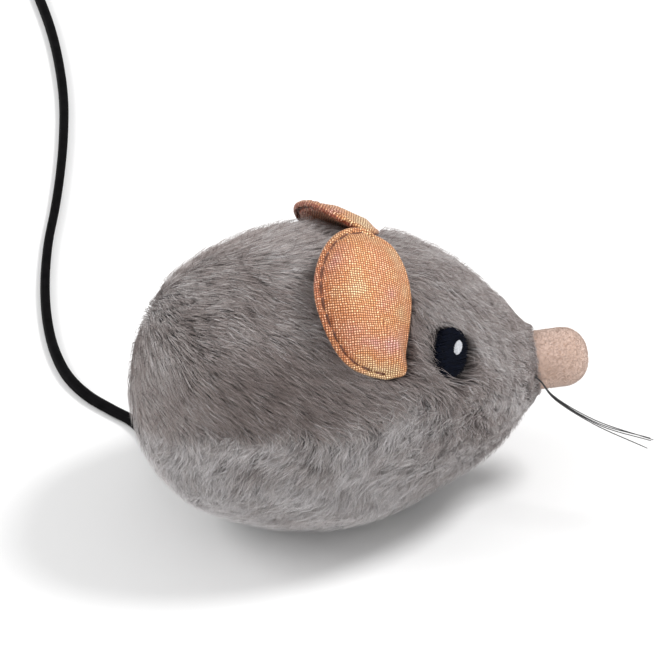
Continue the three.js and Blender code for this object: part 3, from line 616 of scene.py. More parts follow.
def stitch_paths(side, level_side):
    paths = []
    run = np.interp(SEWN_FROM, rim_turns, rim_run[side]) + 0.5 * STITCH_PITCH
    last = np.interp(SEWN_TO, rim_turns, rim_run[side])
    while run < last:
        runs = run + np.linspace(-0.46, 0.46, 11) * STITCH_PITCH
        turn = np.interp(runs, rim_run[side], rim_turns)
        rim_way = curve_through(EAR_OUTLINE[side], turn, closed=True) - EAR_MIDDLE[side]
        reach = 1 - STITCH_IN / np.linalg.norm(rim_way, axis=1)
        across = reach * np.cos(turn * 2 * np.pi)
        up_leaf = reach * np.sin(turn * 2 * np.pi)
        puff = EAR_PUFF[level_side]
        height = cloth_height(side, turn, np.full(11, STITCH_IN), puff)
        lift = 0.42 * STITCH_R + 0.3 * STITCH_R - 3.2 * STITCH_R * np.abs(np.linspace(-1, 1, 11)) ** 4
        normal = leaf_normal(side, across, up_leaf)
        paths.append(leaf_place(side, across, up_leaf) + normal * (level_side * (height + lift))[:, None])
        run += STITCH_PITCH
    return paths


for side, word in ((-1, "right"), (1, "left")):
    paths = stitch_paths(side, 1) + stitch_paths(side, -1)
    stitches = rod_mesh(f"ear_{word}_stitches", paths, round_section(STITCH_R, 7))
    settle(stitches, f"ear_{word}_stitches", stitch_thread)
    print(len(paths), "stitches")

# %% [markdown]
# ## The eyes
# Each eye is sewn through the pile in navy thread: satin stitch, which is many long stitches side
# by side. The stitches run across the eye, crowned in the middle, and end unevenly, so the edge is
# a little spiky. A short white block of stitches near the top makes the catch-light. Every stitch
# is its own rod, laid on a low dome that fills the bottom of the patch.

# %% Eye places
EYE_X = 13.4 * MM
EYE_ANGLE = math.radians(39)
EYE_ALONG = 4.25 * MM
EYE_ACROSS = 4.95 * MM
EYE_LEVEL = -0.85 * MM
eye_outline = curve_through(BODY_OUTLINE, np.linspace(0, 1, 2001), power=0)


def fur_radius(x):
    return np.interp(x, eye_outline[:, 0], eye_outline[:, 1])


def on_body(x, angle, side):
    r = fur_radius(x)
    return np.array([x, side * r * math.cos(angle), float(axis_z(x)) + r * math.sin(angle)])


def eye_frame(side):
    centre = on_body(EYE_X, EYE_ANGLE, side)
    ahead = unit(on_body(EYE_X + 1 * MM, EYE_ANGLE, side) - centre)
    above = unit(on_body(EYE_X, EYE_ANGLE + 0.05, side) - centre)
    out = unit(np.cross(ahead, above)) * -side
    above = unit(np.cross(out, ahead)) * -side
    return centre, ahead, above, out


def on_eye(side, a, b, lift):
    centre, ahead, above, out = eye_frame(side)
    return centre + np.outer(a, ahead) + np.outer(b, above) + np.outer(lift, out)

# %% Eye threads
EYE_THREAD_R = 0.13 * MM
navy, navy_shader = new_finish("navy_thread", roughness=0.6)
navy_shader.inputs["Specular IOR Level"].default_value = 0.06
navy_noise = noise(navy, 1500, 3)
join(navy, shades(navy, navy_noise, (0.35, (0.0005, 0.001, 0.0036)), (0.7, (0.0015, 0.003, 0.0095))),
     navy_shader.inputs["Base Color"])
bump(navy, navy_shader, navy_noise, 0.4, 0.00004)
white_thread, white_shader = new_finish("white_thread", roughness=0.55)
white_noise = noise(white_thread, 1800, 3)
join(white_thread, shades(white_thread, white_noise, (0.3, (0.34, 0.35, 0.38)), (0.7, (0.54, 0.55, 0.58))),
     white_shader.inputs["Base Color"])
bump(white_thread, white_shader, white_noise, 0.4, 0.00004)


def satin(side, half_a, half_b, centre_a, centre_b, tilt, base, crown, radius, seed):
    """Stitches side by side over an oval, tilted, crowned by some height over the base level."""
    draw = np.random.default_rng(seed)
    paths = []
    count = int(2 * half_b / (radius * 1.35))
    for i in range(count):
        v = -1 + 2 * (i + 0.5) / count
        half = math.sqrt(max(0.02, 1 - v * v)) * (1 + draw.uniform(-0.06, 0.07))
        u = np.linspace(-half, half, 11)
        slope = draw.uniform(-0.05, 0.05) + tilt
        vv = v + slope * u
        lift = base + crown * np.sqrt(np.clip(1 - 0.92 * (u * u + v * v), 0, 1)) + draw.uniform(-0.5, 0.5) * radius
        ends = np.abs(np.linspace(-1, 1, 11)) ** 6
        lift = lift - ends * 1.6 * radius
        paths.append(on_eye(side, centre_a + u * half_a, centre_b + vv * half_b, lift))
    return paths


for side, word in ((-1, "right"), (1, "left")):
    eye_stitches = satin(side, EYE_ALONG, EYE_ACROSS, 0, 0, 0.22, EYE_LEVEL - 0.5 * MM, 0.95 * MM, EYE_THREAD_R,
                         11 + side)
    eye_stitches += satin(side, EYE_ALONG * 0.95, EYE_ACROSS * 0.96, 0, 0, -0.12, EYE_LEVEL - 0.8 * MM, 0.9 * MM,
                          EYE_THREAD_R * 1.3, 21 + side)
    eye = rod_mesh(f"eye_{word}_satin", eye_stitches, round_section(EYE_THREAD_R, 6), taper=0.35)
    settle(eye, f"eye_{word}_satin", navy, stands_for=[f"eye_{word}"])
    light_stitches = satin(side, 1.1 * MM, 1.3 * MM, 1.2 * MM, 0.9 * MM, 0.5, EYE_LEVEL + 0.42 * MM, 0.28 * MM,
                           EYE_THREAD_R, 31 + side)
    light = rod_mesh(f"eye_{word}_light", light_stitches, round_section(EYE_THREAD_R, 6), taper=0.4)
    settle(light, f"eye_{word}_light", white_thread, stands_for=[f"eye_{word}_glint"])

# %% [markdown]
# ## Hairs
# Pile and flock are real hairs here: thin three-sided spikes with one bend, each closed. Hundreds
# of thousands are needed, so they are worked out together as rows of numbers rather than with a
# particle system, which leaves no mesh to keep. Each hair has a place on its own small map: how
# far along it is, and which shade it has. The finish reads both.

# %% Hair builder
def hairs(name, root, middle, tip, width, shade):
    """One mesh of closed hairs. width: at the root. shade: 0 to 1, one for each hair."""
    count = len(root)
    rings = []
    for place, way, size in (
        (root, middle - root, 1.0),
        (middle, tip - root, 0.85),
    ):
        way = unit(way)
        helper = np.where(np.abs(way[:, 2:3]) < 0.8, np.array([[0, 0, 1.0]]), np.array([[1.0, 0, 0]]))
        across = unit(np.cross(way, helper))
        second = np.cross(way, across)
        for k in range(3):
            turn = k * 2 * math.pi / 3
            rings.append(place + (across * math.cos(turn) + second * math.sin(turn)) * (width * size / 2)[:, None])
    rings.append(tip)
    points = np.stack(rings, 1).reshape(-1, 3)
    pattern = [(0, 2, 1)]
    for k in range(3):
        n = (k + 1) % 3
        pattern += [(k, n, 3 + n), (k, 3 + n, 3 + k), (3 + k, 3 + n, 6)]
    pattern = np.array(pattern)
    along = np.array([0.02, 0.02, 0.02, 0.55, 0.55, 0.55, 0.98])
    beside = np.array([-1, 0, 1, -1, 0, 1, 0]) * 0.006
    faces = (np.arange(count)[:, None, None] * 7 + pattern[None]).reshape(-1, 3)
    mesh = bpy.data.meshes.new(name)
    mesh.vertices.add(len(points))
    mesh.vertices.foreach_set("co", points.astype(np.float32).ravel())
    mesh.loops.add(faces.size)
    mesh.loops.foreach_set("vertex_index", faces.astype(np.int32).ravel())
    mesh.polygons.add(len(faces))
    mesh.polygons.foreach_set("loop_start", np.arange(0, faces.size, 3, dtype=np.int32))
    mesh.polygons.foreach_set("use_smooth", np.ones(len(faces), bool))
    mesh.update(calc_edges=True)
    shade_map = mesh.uv_layers.new(name="OFBake")
    corner = np.tile(pattern.ravel(), count)
    u = np.repeat(shade * 0.94 + 0.03, pattern.size) + beside[corner]
    shade_map.data.foreach_set("uv", np.stack([u, along[corner]], 1).astype(np.float32).ravel())
    piece = bpy.data.objects.new(name, mesh)
    bpy.context.scene.collection.objects.link(piece)
    return piece


def ripple(places, length, seed, count=10):
    """A smooth random pattern through space, about -1 to 1, with waves of a given length."""
    draw = np.random.default_rng(seed)
    ways = unit(draw.normal(size=(count, 3)))
    pitch = 2 * np.pi / (length * draw.uniform(0.7, 1.5, count))
    start = draw.uniform(0, 2 * np.pi, count)
    return np.sin(places @ (ways * pitch[:, None]).T + start).sum(1) / math.sqrt(count) * 0.9


def scatter(piece, weight, count, draw):
    """Random places on a mesh, evenly by area times weight(centres), with their normals."""
    mesh = piece.data
    mesh.calc_loop_triangles()
    corners = np.zeros(len(mesh.loop_triangles) * 3, np.int32)
    mesh.loop_triangles.foreach_get("vertices", corners)
    corners = corners.reshape(-1, 3)
    places = vertex_places(piece)
    normals = np.zeros(len(mesh.vertices) * 3)
    mesh.vertices.foreach_get("normal", normals)
    normals = normals.reshape(-1, 3)
    a, b, c = (places[corners[:, k]] for k in range(3))
    area = np.linalg.norm(np.cross(b - a, c - a), axis=1) / 2
    chance = area * weight((a + b + c) / 3)
    pick = draw.choice(len(corners), size=count, p=chance / chance.sum())
    s, t = draw.random((2, count))
    over = s + t > 1
    s, t = np.where(over, 1 - s, s)[:, None], np.where(over, 1 - t, t)[:, None]
    rows = corners[pick]
    spots = places[rows[:, 0]] * (1 - s - t) + places[rows[:, 1]] * s + places[rows[:, 2]] * t
    ways = normals[rows[:, 0]] * (1 - s - t) + normals[rows[:, 1]] * s + normals[rows[:, 2]] * t
    return spots, unit(ways), area.sum()

# %% [markdown]
# ## The nose
# The nose is a stub with a round end, covered in a velvety peach flock. The stub is an outline
# turned with Spin, and the flock is a coat of very short hairs that soften its edge.

# %% Nose
NOSE_START = 23.6 * MM
NOSE_TIP = 41.2 * MM
NOSE_Z = 26.2 * MM
NOSE_R = 6.1 * MM
FLOCK_LONG = 0.32 * MM

flock, flock_shader = new_finish("nose_flock", roughness=1.0)
flock_shader.inputs["Sheen Weight"].default_value = 0.5
flock_shader.inputs["Sheen Roughness"].default_value = 0.6
flock_shader.inputs["Sheen Tint"].default_value = (1, 0.93, 0.88, 1)
freckle = noise(flock, 1500, 3, roughness=0.7)
blush = noise(flock, 160, 2)
blush_mix = node(flock, "Mix", data_type="RGBA")
join(flock, shades(flock, blush, (0.35, (0.52, 0.37, 0.30)), (0.65, (0.60, 0.44, 0.37))), blush_mix.inputs[7])
blush_mix.inputs[6].default_value = (0.42, 0.27, 0.20, 1)
join(flock, sum_node(flock, "MULTIPLY_ADD", freckle, 5), blush_mix.inputs["Factor"])
flock.node_tree.nodes[-1].inputs[2].default_value = -1.55
blush_mix.clamp_factor = True
join(flock, blush_mix.outputs[2], flock_shader.inputs["Base Color"])
bump(flock, flock_shader, freckle, 0.5, 0.0001)

nose_profile = [(NOSE_START, 0), (NOSE_START, 5.4 * MM), (NOSE_START + 3 * MM, 5.75 * MM), (34 * MM, 6.0 * MM)]
ROUND_R = NOSE_R - FLOCK_LONG * 0.8
round_from = NOSE_TIP - FLOCK_LONG * 0.8 - 0.92 * ROUND_R
nose_profile[-1] = (34 * MM, ROUND_R * 0.995)
for i in range(19):
    turn = i / 18 * math.pi / 2
    squared = math.cos(turn) ** 0.86
    nose_profile.append((round_from + 0.92 * ROUND_R * math.sin(turn) ** 0.94, ROUND_R * squared if i < 18 else 0))
nose_mesh = bpy.data.meshes.new("nose_stub")
nose_mesh.from_pydata([(x, r, 0) for x, r in nose_profile], [(i, i + 1) for i in range(len(nose_profile) - 1)], [])
nose = bpy.data.objects.new("nose_stub", nose_mesh)
bpy.context.scene.collection.objects.link(nose)
alone(nose)
bpy.ops.object.mode_set(mode="EDIT")
bpy.ops.mesh.select_all(action="SELECT")
bpy.ops.mesh.spin(steps=72, angle=2 * math.pi, center=(0, 0, 0), axis=(1, 0, 0))
bpy.ops.mesh.select_all(action="SELECT")
bpy.ops.mesh.remove_doubles(threshold=1e-6)
bpy.ops.mesh.normals_make_consistent(inside=False)
bpy.ops.transform.translate(value=(0, 0, NOSE_Z))
bpy.ops.object.mode_set(mode="OBJECT")
bpy.ops.object.shade_smooth_by_angle(angle=math.radians(50))
settle(nose, "nose_stub", flock, stands_for=["nose"])

# %% Nose flock
flock_draw = np.random.default_rng(5)
spots, ways, _ = scatter(nose, lambda p: (p[:, 0] > 29 * MM) * 1.0, 19000, flock_draw)
lean = unit(ways + 0.5 * flock_draw.normal(size=ways.shape) + np.array([0.25, 0, -0.1]))
flock_tip = spots + lean * (FLOCK_LONG * flock_draw.uniform(0.6, 1.1, len(spots)))[:, None]
flock_hair = hairs("nose_flock_pile", spots - ways * 0.05 * MM, (spots * 0.5 + flock_tip * 0.5), flock_tip,
                   np.full(len(spots), 0.06 * MM), flock_draw.random(len(spots)))
flock_fibre, fibre_shader = new_finish("nose_flock_fibre", roughness=1.0)
fibre_shader.inputs["Sheen Weight"].default_value = 0.4
fibre_uv = node(flock_fibre, "SeparateXYZ")
join(flock_fibre, node(flock_fibre, "UVMap", uv_map="OFBake").outputs["UV"], fibre_uv.inputs[0])
join(flock_fibre, shades(flock_fibre, fibre_uv.outputs["X"], (0.0, (0.30, 0.19, 0.14)), (0.08, (0.48, 0.345, 0.28)),
                         (0.6, (0.53, 0.395, 0.33)), (1.0, (0.60, 0.47, 0.405))),
     fibre_shader.inputs["Base Color"])
settle(flock_hair, "nose_flock_pile", flock_fibre)

# %% [markdown]
# ## Whiskers
# Four black threads come out of the fur on each side of the nose, and cross loosely on the way to
# their cut ends. They are too short to count as cords, so they are plain pieces.

# %% Whiskers
WHISKER_R = 0.095 * MM
RIGHT_WHISKERS = [
    [(30.3, -7.8, 27.0), (32.6, -9.5, 24.0), (40, -14.9, 20.6), (51, -21.5, 18.6)],
    [(30.3, -7.8, 26.9), (32.6, -9.6, 23.9), (40.5, -15.7, 20.3), (50.6, -20.0, 18.0)],
    [(30.3, -7.8, 26.8), (32.6, -9.7, 23.7), (41, -16.0, 19.8), (50.8, -19.0, 16.6)],
    [(30.3, -7.8, 26.7), (32.6, -9.8, 23.5), (39.5, -14.2, 19.4), (49.6, -22.4, 17.4)],
]
LEFT_WHISKERS = [
    [(30.2, 8.9, 25.4), (28.5, 18.5, 22.8), (25.0, 28.4, 17.0)],
    [(30.2, 9.0, 24.8), (28.0, 19.0, 20.8), (23.4, 27.4, 14.6)],
    [(30.1, 9.1, 24.1), (27.0, 18.6, 19.0), (23.0, 26.0, 12.8)],
    [(30.0, 9.2, 23.5), (27.5, 17.6, 17.8), (21.6, 26.6, 13.8)],
]
black_thread, black_shader = new_finish("whisker_thread", roughness=0.45)
strand_noise = noise(black_thread, 2200, 2)
join(black_thread, shades(black_thread, strand_noise, (0.3, (0.006, 0.006, 0.007)), (0.75, (0.03, 0.029, 0.031))),
     black_shader.inputs["Base Color"])
for word, inward, rows in (("right", 1, RIGHT_WHISKERS), ("left", -1, LEFT_WHISKERS)):
    for i, row in enumerate(rows):
        start = row[0]
        deep = (27.2, start[1] + 2.2 * inward, start[2] + 1.4)
        path = curve_through(np.array([deep, start, *row[1:]]) * MM, np.linspace(0, 1, 34))
        whisker = rod_mesh(f"whisker_{word}_thread_{i + 1}", [path], round_section(WHISKER_R, 8), taper=0.8)
        settle(whisker, f"whisker_{word}_thread_{i + 1}", black_thread,
               stands_for=[f"whisker_{word}_{i + 1}"])

# %% [markdown]
# ## Backing cloth
# The pile is knitted into a backing cloth, which shows only between the hairs. It is the body's
# skin set 4.7 mm under the tips, given a thickness, and cut open for the motor and the key with
# Boolean cutters.

# %% Backing
PILE = 4.7 * MM
backing = body_skin("backing", PILE)
thicken = backing.modifiers.new("cloth", "SOLIDIFY")
thicken.thickness = 0.5 * MM
thicken.offset = -1
apply_modifiers(backing)

key_low, key_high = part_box("winding_key")
key_x = (key_low.x + key_high.x) / 2
key_z = (key_low.z + key_high.z) / 2
KEY_WELL = 8.2 * MM
BELLY_OPENING = [
    (-37.8, -5.4), (-30.2, -5.4), (-30.2, -9.3), (-13.4, -9.3), (-13.4, -11), (3.4, -11),
    (3.4, 11), (-13.4, 11), (-13.4, 9.3), (-30.2, 9.3), (-30.2, 5.4), (-37.8, 5.4),
]
bpy.ops.object.select_all(action="DESELECT")
bpy.ops.mesh.primitive_cylinder_add(vertices=64, radius=KEY_WELL, depth=40 * MM,
                                    location=(key_x, 36 * MM, key_z), rotation=(math.pi / 2, 0, 0))
key_cutter = bpy.context.active_object
corners = [(x * MM, y * MM, z) for z in (-2 * MM, 14 * MM) for x, y in BELLY_OPENING]
sides = len(BELLY_OPENING)
cutter_faces = [list(reversed(range(sides))), list(range(sides, 2 * sides))]
cutter_faces += [(i, (i + 1) % sides, sides + (i + 1) % sides, sides + i) for i in range(sides)]
belly_cutter = mesh_piece("belly_cutter", corners, cutter_faces)
for cutter in (key_cutter, belly_cutter):
    cut = backing.modifiers.new("opening", "BOOLEAN")
    cut.operation = "DIFFERENCE"
    cut.solver = "EXACT"
    cut.object = cutter
apply_modifiers(backing)
for cutter in (key_cutter, belly_cutter):
    bpy.data.objects.remove(cutter)

knit, knit_shader = new_finish("backing_knit", roughness=1.0)
knit_noise = noise(knit, 900, 3)
join(knit, shades(knit, knit_noise, (0.3, (0.06, 0.054, 0.052)), (0.7, (0.12, 0.11, 0.106))),
     knit_shader.inputs["Base Color"])
bump(knit, knit_shader, knit_noise, 0.6, 0.0002)
settle(backing, "backing", knit, stands_for=["fur_right_side", "fur_left_side", "fur_belly"])

# %% [markdown]
# ## The pile
# The nap of each panel lies its own way. On the two side panels it runs forwards and down, and on
# the belly panel it runs back and down, so the hairs meet along the side seams in an untidy line.
# The panel under the seam is fluffier. Hairs gather into small tufts, and the colour drifts from
# warm to bluish grey in patches. The belly panel is also painted lighter, as painted light from
# below, and the mid flank by the ear darker, as painted shade. Hairs that would pass through an
# ear, the nose, an eye, the key's well, the tail or the motor's opening are left out.

# %% Where the hairs stand
HAIR_COUNT = 168000
SEAM = 17
HAIR_WIDE = 0.105 * MM
draw = np.random.default_rng(17)
pile_skin = body_skin("pile_skin", 0)


def stand_weight(p):
    flat = p[:, 2] < BELLY_Z + 0.4 * MM
    near_nose = smooth_step((p[:, 0] - 16 * MM) / (10 * MM))
    return np.where(flat, 0.3, 1.0) * (1 + 0.5 * near_nose)


spots, ways, skin_area = scatter(pile_skin, stand_weight, HAIR_COUNT, draw)
pile_tree = BVHTree.FromPolygons(
    [tuple(v) for v in vertex_places(pile_skin)], [tuple(p.vertices) for p in pile_skin.data.polygons])
side_of = np.sign(spots[:, 1]) + (spots[:, 1] == 0)
from_axis = spots[:, 2] - axis_z(spots[:, 0])
angle = np.degrees(np.arctan2(from_axis, np.abs(spots[:, 1])))
radius = np.hypot(spots[:, 1], from_axis)
print("skin in square centimetres:", round(skin_area * 1e4), "hairs to a square millimetre:",
      round(HAIR_COUNT / (skin_area * 1e6), 1))

# %% Which way the nap lies
seam_wander = 4.0 * ripple(spots, 14 * MM, 3) + 2.5 * draw.normal(size=len(spots))
upper = smooth_step((angle - SEAM + seam_wander) / 5 + 0.5)
# The two side panels part along the back, and over the rump the parting runs down the left side
off_parting = spots[:, 1] - 12 * MM * smooth_step((-18 * MM - spots[:, 0]) / (18 * MM))
from_parting = smooth_step(np.abs(off_parting) / (7 * MM)) * np.sign(off_parting)
from_keel = smooth_step(np.abs(spots[:, 1]) / (7 * MM)) * side_of
nose_pull = smooth_step((spots[:, 0] - 20 * MM) / (9 * MM))
head = smooth_step((spots[:, 0] + 2 * MM) / (16 * MM))


def along_skin(x, y, z):
    aim = np.stack(np.broadcast_arrays(x, y, z), 1)
    return unit(aim - ways * (aim * ways).sum(1)[:, None] + 0.05 * UPPER_AIM)


UPPER_AIM = np.array([0.92, 0, -0.57])
upper_lay = along_skin(0.92, 0.43 * (1 - 0.6 * nose_pull) * from_parting, -0.57 * (1 - 0.6 * nose_pull))
belly_lay = along_skin(-0.62 + 1.3 * nose_pull, 0.40 * from_keel, -0.62)
lay = upper_lay * upper[:, None] + belly_lay * (1 - upper)[:, None]
lay = unit(lay)
swing = 0.24 * ripple(spots, 13 * MM, 4) + (0.12 + 0.2 * head) * ripple(spots, 4 * MM, 6)
swing = swing + (0.2 + 0.2 * head) * draw.normal(size=len(spots))
swing = swing * (1 + 0.6 * (1 - upper))
sideways = np.cross(ways, lay)
lay = unit(lay * np.cos(swing)[:, None] + sideways * np.sin(swing)[:, None])

# %% Lengths, bends and tufts
short = smooth_step((32 * MM - spots[:, 0]) / (30 * MM)) * 0.64 + 0.36
depth = np.clip(radius - NOSE_COLLAR, 0.4 * MM, 4.5 * MM)
reach = (6.6 * MM * short) * draw.uniform(0.75, 1.15, len(spots)) * (1.08 - 0.08 * upper)
below = np.abs(draw.normal(size=len(spots))) * (0.35 + 0.3 * (1 - upper)) * MM
below = below + (0.45 + 0.45 * ripple(spots, 3.2 * MM, 8)) * MM * (0.6 + 1.0 * (1 - upper))
below = np.clip(below, 0.0, 2.4 * MM) * short
stray = draw.random(len(spots)) < 0.07
below = np.where(stray, -draw.uniform(0.1, 0.9, len(spots)) * MM * short, below)

tuft_count = HAIR_COUNT // 20
tuft_tree = KDTree(tuft_count)
for i in range(tuft_count):
    tuft_tree.insert(spots[i], i)
tuft_tree.balance()
tuft = np.array([tuft_tree.find(spot)[1] for spot in spots])
tip = spots + lay * reach[:, None]
gather = (0.26 + 0.3 * (1 - upper))[:, None] * draw.uniform(0.5, 1.2, len(spots))[:, None]
tip = tip + (spots[tuft] + lay[tuft] * reach[tuft][:, None] - tip) * gather

# %% Tips follow the skin
near = [pile_tree.find_nearest(p) for p in tip]
snapped = np.array([n[0] for n in near])
snapped_way = np.array([n[1] for n in near])
snapped_way = unit(snapped_way * np.sign((snapped_way * ways).sum(1) + 1e-9)[:, None])
free_front = smooth_step((tip[:, 0] - 26 * MM) / (2.5 * MM))[:, None]
tip_on_skin = snapped - snapped_way * below[:, None]
front_r = np.hypot(tip[:, 1], tip[:, 2] - NOSE_Z)
front_scale = np.clip((NOSE_R + 0.25 * MM) / front_r, 1, None)
front_top = NOSE_R + 0.35 * MM + 1.3 * np.maximum(0, 30.2 * MM - tip[:, 0])
front_scale = np.minimum(front_scale, np.maximum(front_top / front_r, 0.7))
tip_front = tip.copy()
tip_front[:, 0] = np.minimum(tip[:, 0], (30.1 + 0.35 * draw.normal(size=len(tip))) * MM + 0.5 * below)
tip_front[:, 1] *= front_scale
tip_front[:, 2] = NOSE_Z + (tip[:, 2] - NOSE_Z) * front_scale
tip = tip_on_skin * (1 - free_front) + tip_front * free_front
tip[:, 2] = np.maximum(tip[:, 2], BELLY_Z - 0.25 * MM)

root = spots - ways * depth[:, None]
root[:, 2] = np.maximum(root[:, 2], BELLY_Z + 0.6 * MM)
middle = root * 0.35 + tip * 0.65 + ways * (depth * 0.34)[:, None] - lay * (reach * 0.14)[:, None]
middle[:, 2] = np.maximum(middle[:, 2], BELLY_Z - 0.1 * MM)

# %% [markdown]
# Three tests leave hairs out. A ray along each part of a hair finds an ear in its way. A hair that
# ends inside an ear starts on its wrong side. The rest are measured: distances from the nose's
# axis, the eye's oval, the key's axis, the lace and the opening in the belly.

# %% Leave out hairs in the way
keep = np.ones(len(spots), bool)
for word, made in ears.items():
    tree = BVHTree.FromPolygons([tuple(v) for v in vertex_places(made)],
                                [tuple(p.vertices) for p in made.data.polygons])
    low, high = (vertex_places(made).min(0) - 2 * MM, vertex_places(made).max(0) + 2 * MM)
    close = ((tip > low) & (tip < high)).all(1) | ((middle > low) & (middle < high)).all(1)
    for i in np.nonzero(close)[0]:
        for start, end in ((root[i], middle[i]), (middle[i], tip[i])):
            step = Vector(end - start)
            if tree.ray_cast(Vector(start), step.normalized(), step.length)[0] is not None:
                keep[i] = False
        if keep[i]:
            place, normal, _, _ = tree.find_nearest(Vector(tip[i]))
            if (Vector(tip[i]) - place).dot(normal) < 0.05 * MM:
                keep[i] = False
print("hairs lost to the ears:", int((~keep).sum()))

for side in (-1, 1):
    centre, eye_ahead, eye_above, eye_out = eye_frame(side)
    loose = draw.random(len(spots)) < 0.3
    for part, spare in ((tip, 1.0), (middle, 1.06), (root, 1.06), ((tip + middle) / 2, 1.04),
                        ((root + middle) / 2, 1.06)):
        spare = np.where(loose, spare - 0.12, spare)
        off = part - centre
        oval = np.hypot(off @ eye_ahead / EYE_ALONG, off @ eye_above / EYE_ACROSS)
        keep &= ~((oval < spare) & (np.abs(off @ eye_out) < 6 * MM))

for part in (root, middle, tip, (root + middle) / 2, (tip + middle) / 2):
    in_nose = (np.hypot(part[:, 1], part[:, 2] - NOSE_Z) < NOSE_R - 0.35 * MM) & (part[:, 0] > NOSE_START)
    keep &= ~in_nose
    from_key = np.hypot(part[:, 0] - key_x, part[:, 2] - key_z)
    keep &= ~((from_key < KEY_WELL - 0.2 * MM) & (part[:, 1] > key_low.y - 2 * MM))
    x, y, z = part.T / MM
    motor = (x > -38.2) & (x < -29.6) & (np.abs(y) < 5.7)
    motor |= (x > -30.6) & (x < -13) & (np.abs(y) < 9.6)
    motor |= (x > -13.8) & (x < 3.8) & (np.abs(y) < 11.4)
    keep &= ~(motor & (z < 14))

lace_tree = KDTree(len(lace_path))
for i, place in enumerate(lace_path):
    lace_tree.insert(place, i)
lace_tree.balance()
for i in np.nonzero((tip[:, 0] < -36 * MM) & (tip[:, 2] < 20 * MM) & (tip[:, 1] > -6 * MM))[0]:
    for share in (0, 0.25, 0.5, 0.75, 1):
        for a, b in ((root[i], middle[i]), (middle[i], tip[i])):
            if lace_tree.find(a + (b - a) * share)[2] < 1.15 * MM:
                keep[i] = False
print("hairs kept:", int(keep.sum()), "of", len(keep))

# %% [markdown]
# The finish of the pile is a map of one hair: dark at the root, soft grey along it and pale at the
# tip, in shades from warm to bluish. Which shade a hair takes drifts over the body in patches, and
# is painted darker on the mid flank by the ear, as painted shade, and lighter on the belly and its
# lowest edge, as painted light from below.

# %% Pile finish and pieces
pile, pile_shader = new_finish("pile_hair", roughness=0.75)
pile_shader.inputs["Specular IOR Level"].default_value = 0.35
pile_shader.inputs["Sheen Weight"].default_value = 0.25
pile_shader.inputs["Sheen Roughness"].default_value = 0.5
pile_uv = node(pile, "SeparateXYZ")
join(pile, node(pile, "UVMap", uv_map="OFBake").outputs["UV"], pile_uv.inputs[0])
tone_and_painted_light_colour = shades(
    pile, pile_uv.outputs["X"],
    (0.0, (0.22, 0.175, 0.163)), (0.3, (0.34, 0.285, 0.27)), (0.55, (0.46, 0.405, 0.39)),
    (0.8, (0.58, 0.535, 0.525)), (1.0, (0.78, 0.75, 0.755)),
)
along_colour = shades(pile, pile_uv.outputs["Y"], (0.0, (0.16, 0.145, 0.145)), (0.4, (0.5, 0.49, 0.49)),
                      (0.75, (0.95, 0.95, 0.95)), (1.0, (1.5, 1.5, 1.5)))
pile_mix = node(pile, "Mix", data_type="RGBA", blend_type="MULTIPLY", Factor=1.0)
join(pile, tone_and_painted_light_colour, pile_mix.inputs[6])
join(pile, along_colour, pile_mix.inputs[7])
join(pile, pile_mix.outputs[2], pile_shader.inputs["Base Color"])

# Painted shade: hairs on the mid flank, below and behind the ear, are painted darker
flank_painted_shade = np.exp(-((angle - 34) / 18) ** 2) * smooth_step((spots[:, 0] + 42 * MM) / (14 * MM))
flank_painted_shade = flank_painted_shade * smooth_step((12 * MM - spots[:, 0]) / (8 * MM))
# Painted light: the belly panel's hairs are painted lighter, less so under the head, and the lowest edge lighter
# still, as light from below
shade = 0.46 + 0.5 * (1 - upper) * (1 - 0.6 * head) - 0.38 * flank_painted_shade
shade = shade + 0.12 * smooth_step((-12 - angle) / 20)
shade = shade + 0.13 * ripple(spots, 16 * MM, 12) + 0.09 * ripple(spots, 2.4 * MM, 14)
shade = shade + 0.10 * (1 + 0.7 * (1 - upper)) * ripple(spots, 5 * MM, 13)
shade = shade + 0.2 * draw.normal(size=len(spots)) + 0.45 * (draw.random(len(spots)) < 0.08)
shade = np.clip(shade, 0, 1)
width = HAIR_WIDE * draw.uniform(0.75, 1.2, len(spots))

panel = np.where(angle > SEAM, np.where(side_of < 0, 0, 1), 2)
for number, (word, stood_for) in enumerate((("right", "fur_right_side"), ("left", "fur_left_side"),
                                            ("belly", "fur_belly"))):
    rows = np.nonzero(keep & (panel == number))[0]
    rows = rows[np.argsort(spots[rows, 0])]
    shares = math.ceil(len(rows) / 19500)
    for k, chosen in enumerate(np.array_split(rows, shares)):
        name = f"pile_{word}_{k + 1}"
        coat = hairs(name, root[chosen], middle[chosen], tip[chosen], width[chosen], shade[chosen])
        settle(coat, name, pile, stands_for=[stood_for])
bpy.data.objects.remove(pile_skin)

# %% [markdown]
# ## Key washer
# The winding key stands in a round well in the left flank. A felt washer closes the bottom of the
# well round the arbor, so that no filling shows.

# %% Key washer
felt, felt_shader = new_finish("felt", roughness=1.0)
felt_noise = noise(felt, 1200, 4)
join(felt, shades(felt, felt_noise, (0.3, (0.10, 0.095, 0.09)), (0.7, (0.17, 0.16, 0.155))),
     felt_shader.inputs["Base Color"])
bump(felt, felt_shader, felt_noise, 0.8, 0.0002)
bpy.ops.object.select_all(action="DESELECT")
bpy.ops.mesh.primitive_cylinder_add(vertices=64, radius=7.7 * MM, depth=0.5 * MM, end_fill_type="NGON",
                                    location=(key_x, key_low.y - 0.6 * MM, key_z), rotation=(math.pi / 2, 0, 0))
washer = bpy.context.active_object
place_in_mesh(washer)
bpy.ops.mesh.primitive_cylinder_add(vertices=32, radius=2.0 * MM, depth=4 * MM,
                                    location=(key_x, key_low.y - 0.6 * MM, key_z), rotation=(math.pi / 2, 0, 0))
hole = bpy.context.active_object
cut = washer.modifiers.new("hole", "BOOLEAN")
cut.operation = "DIFFERENCE"
cut.solver = "EXACT"
cut.object = hole
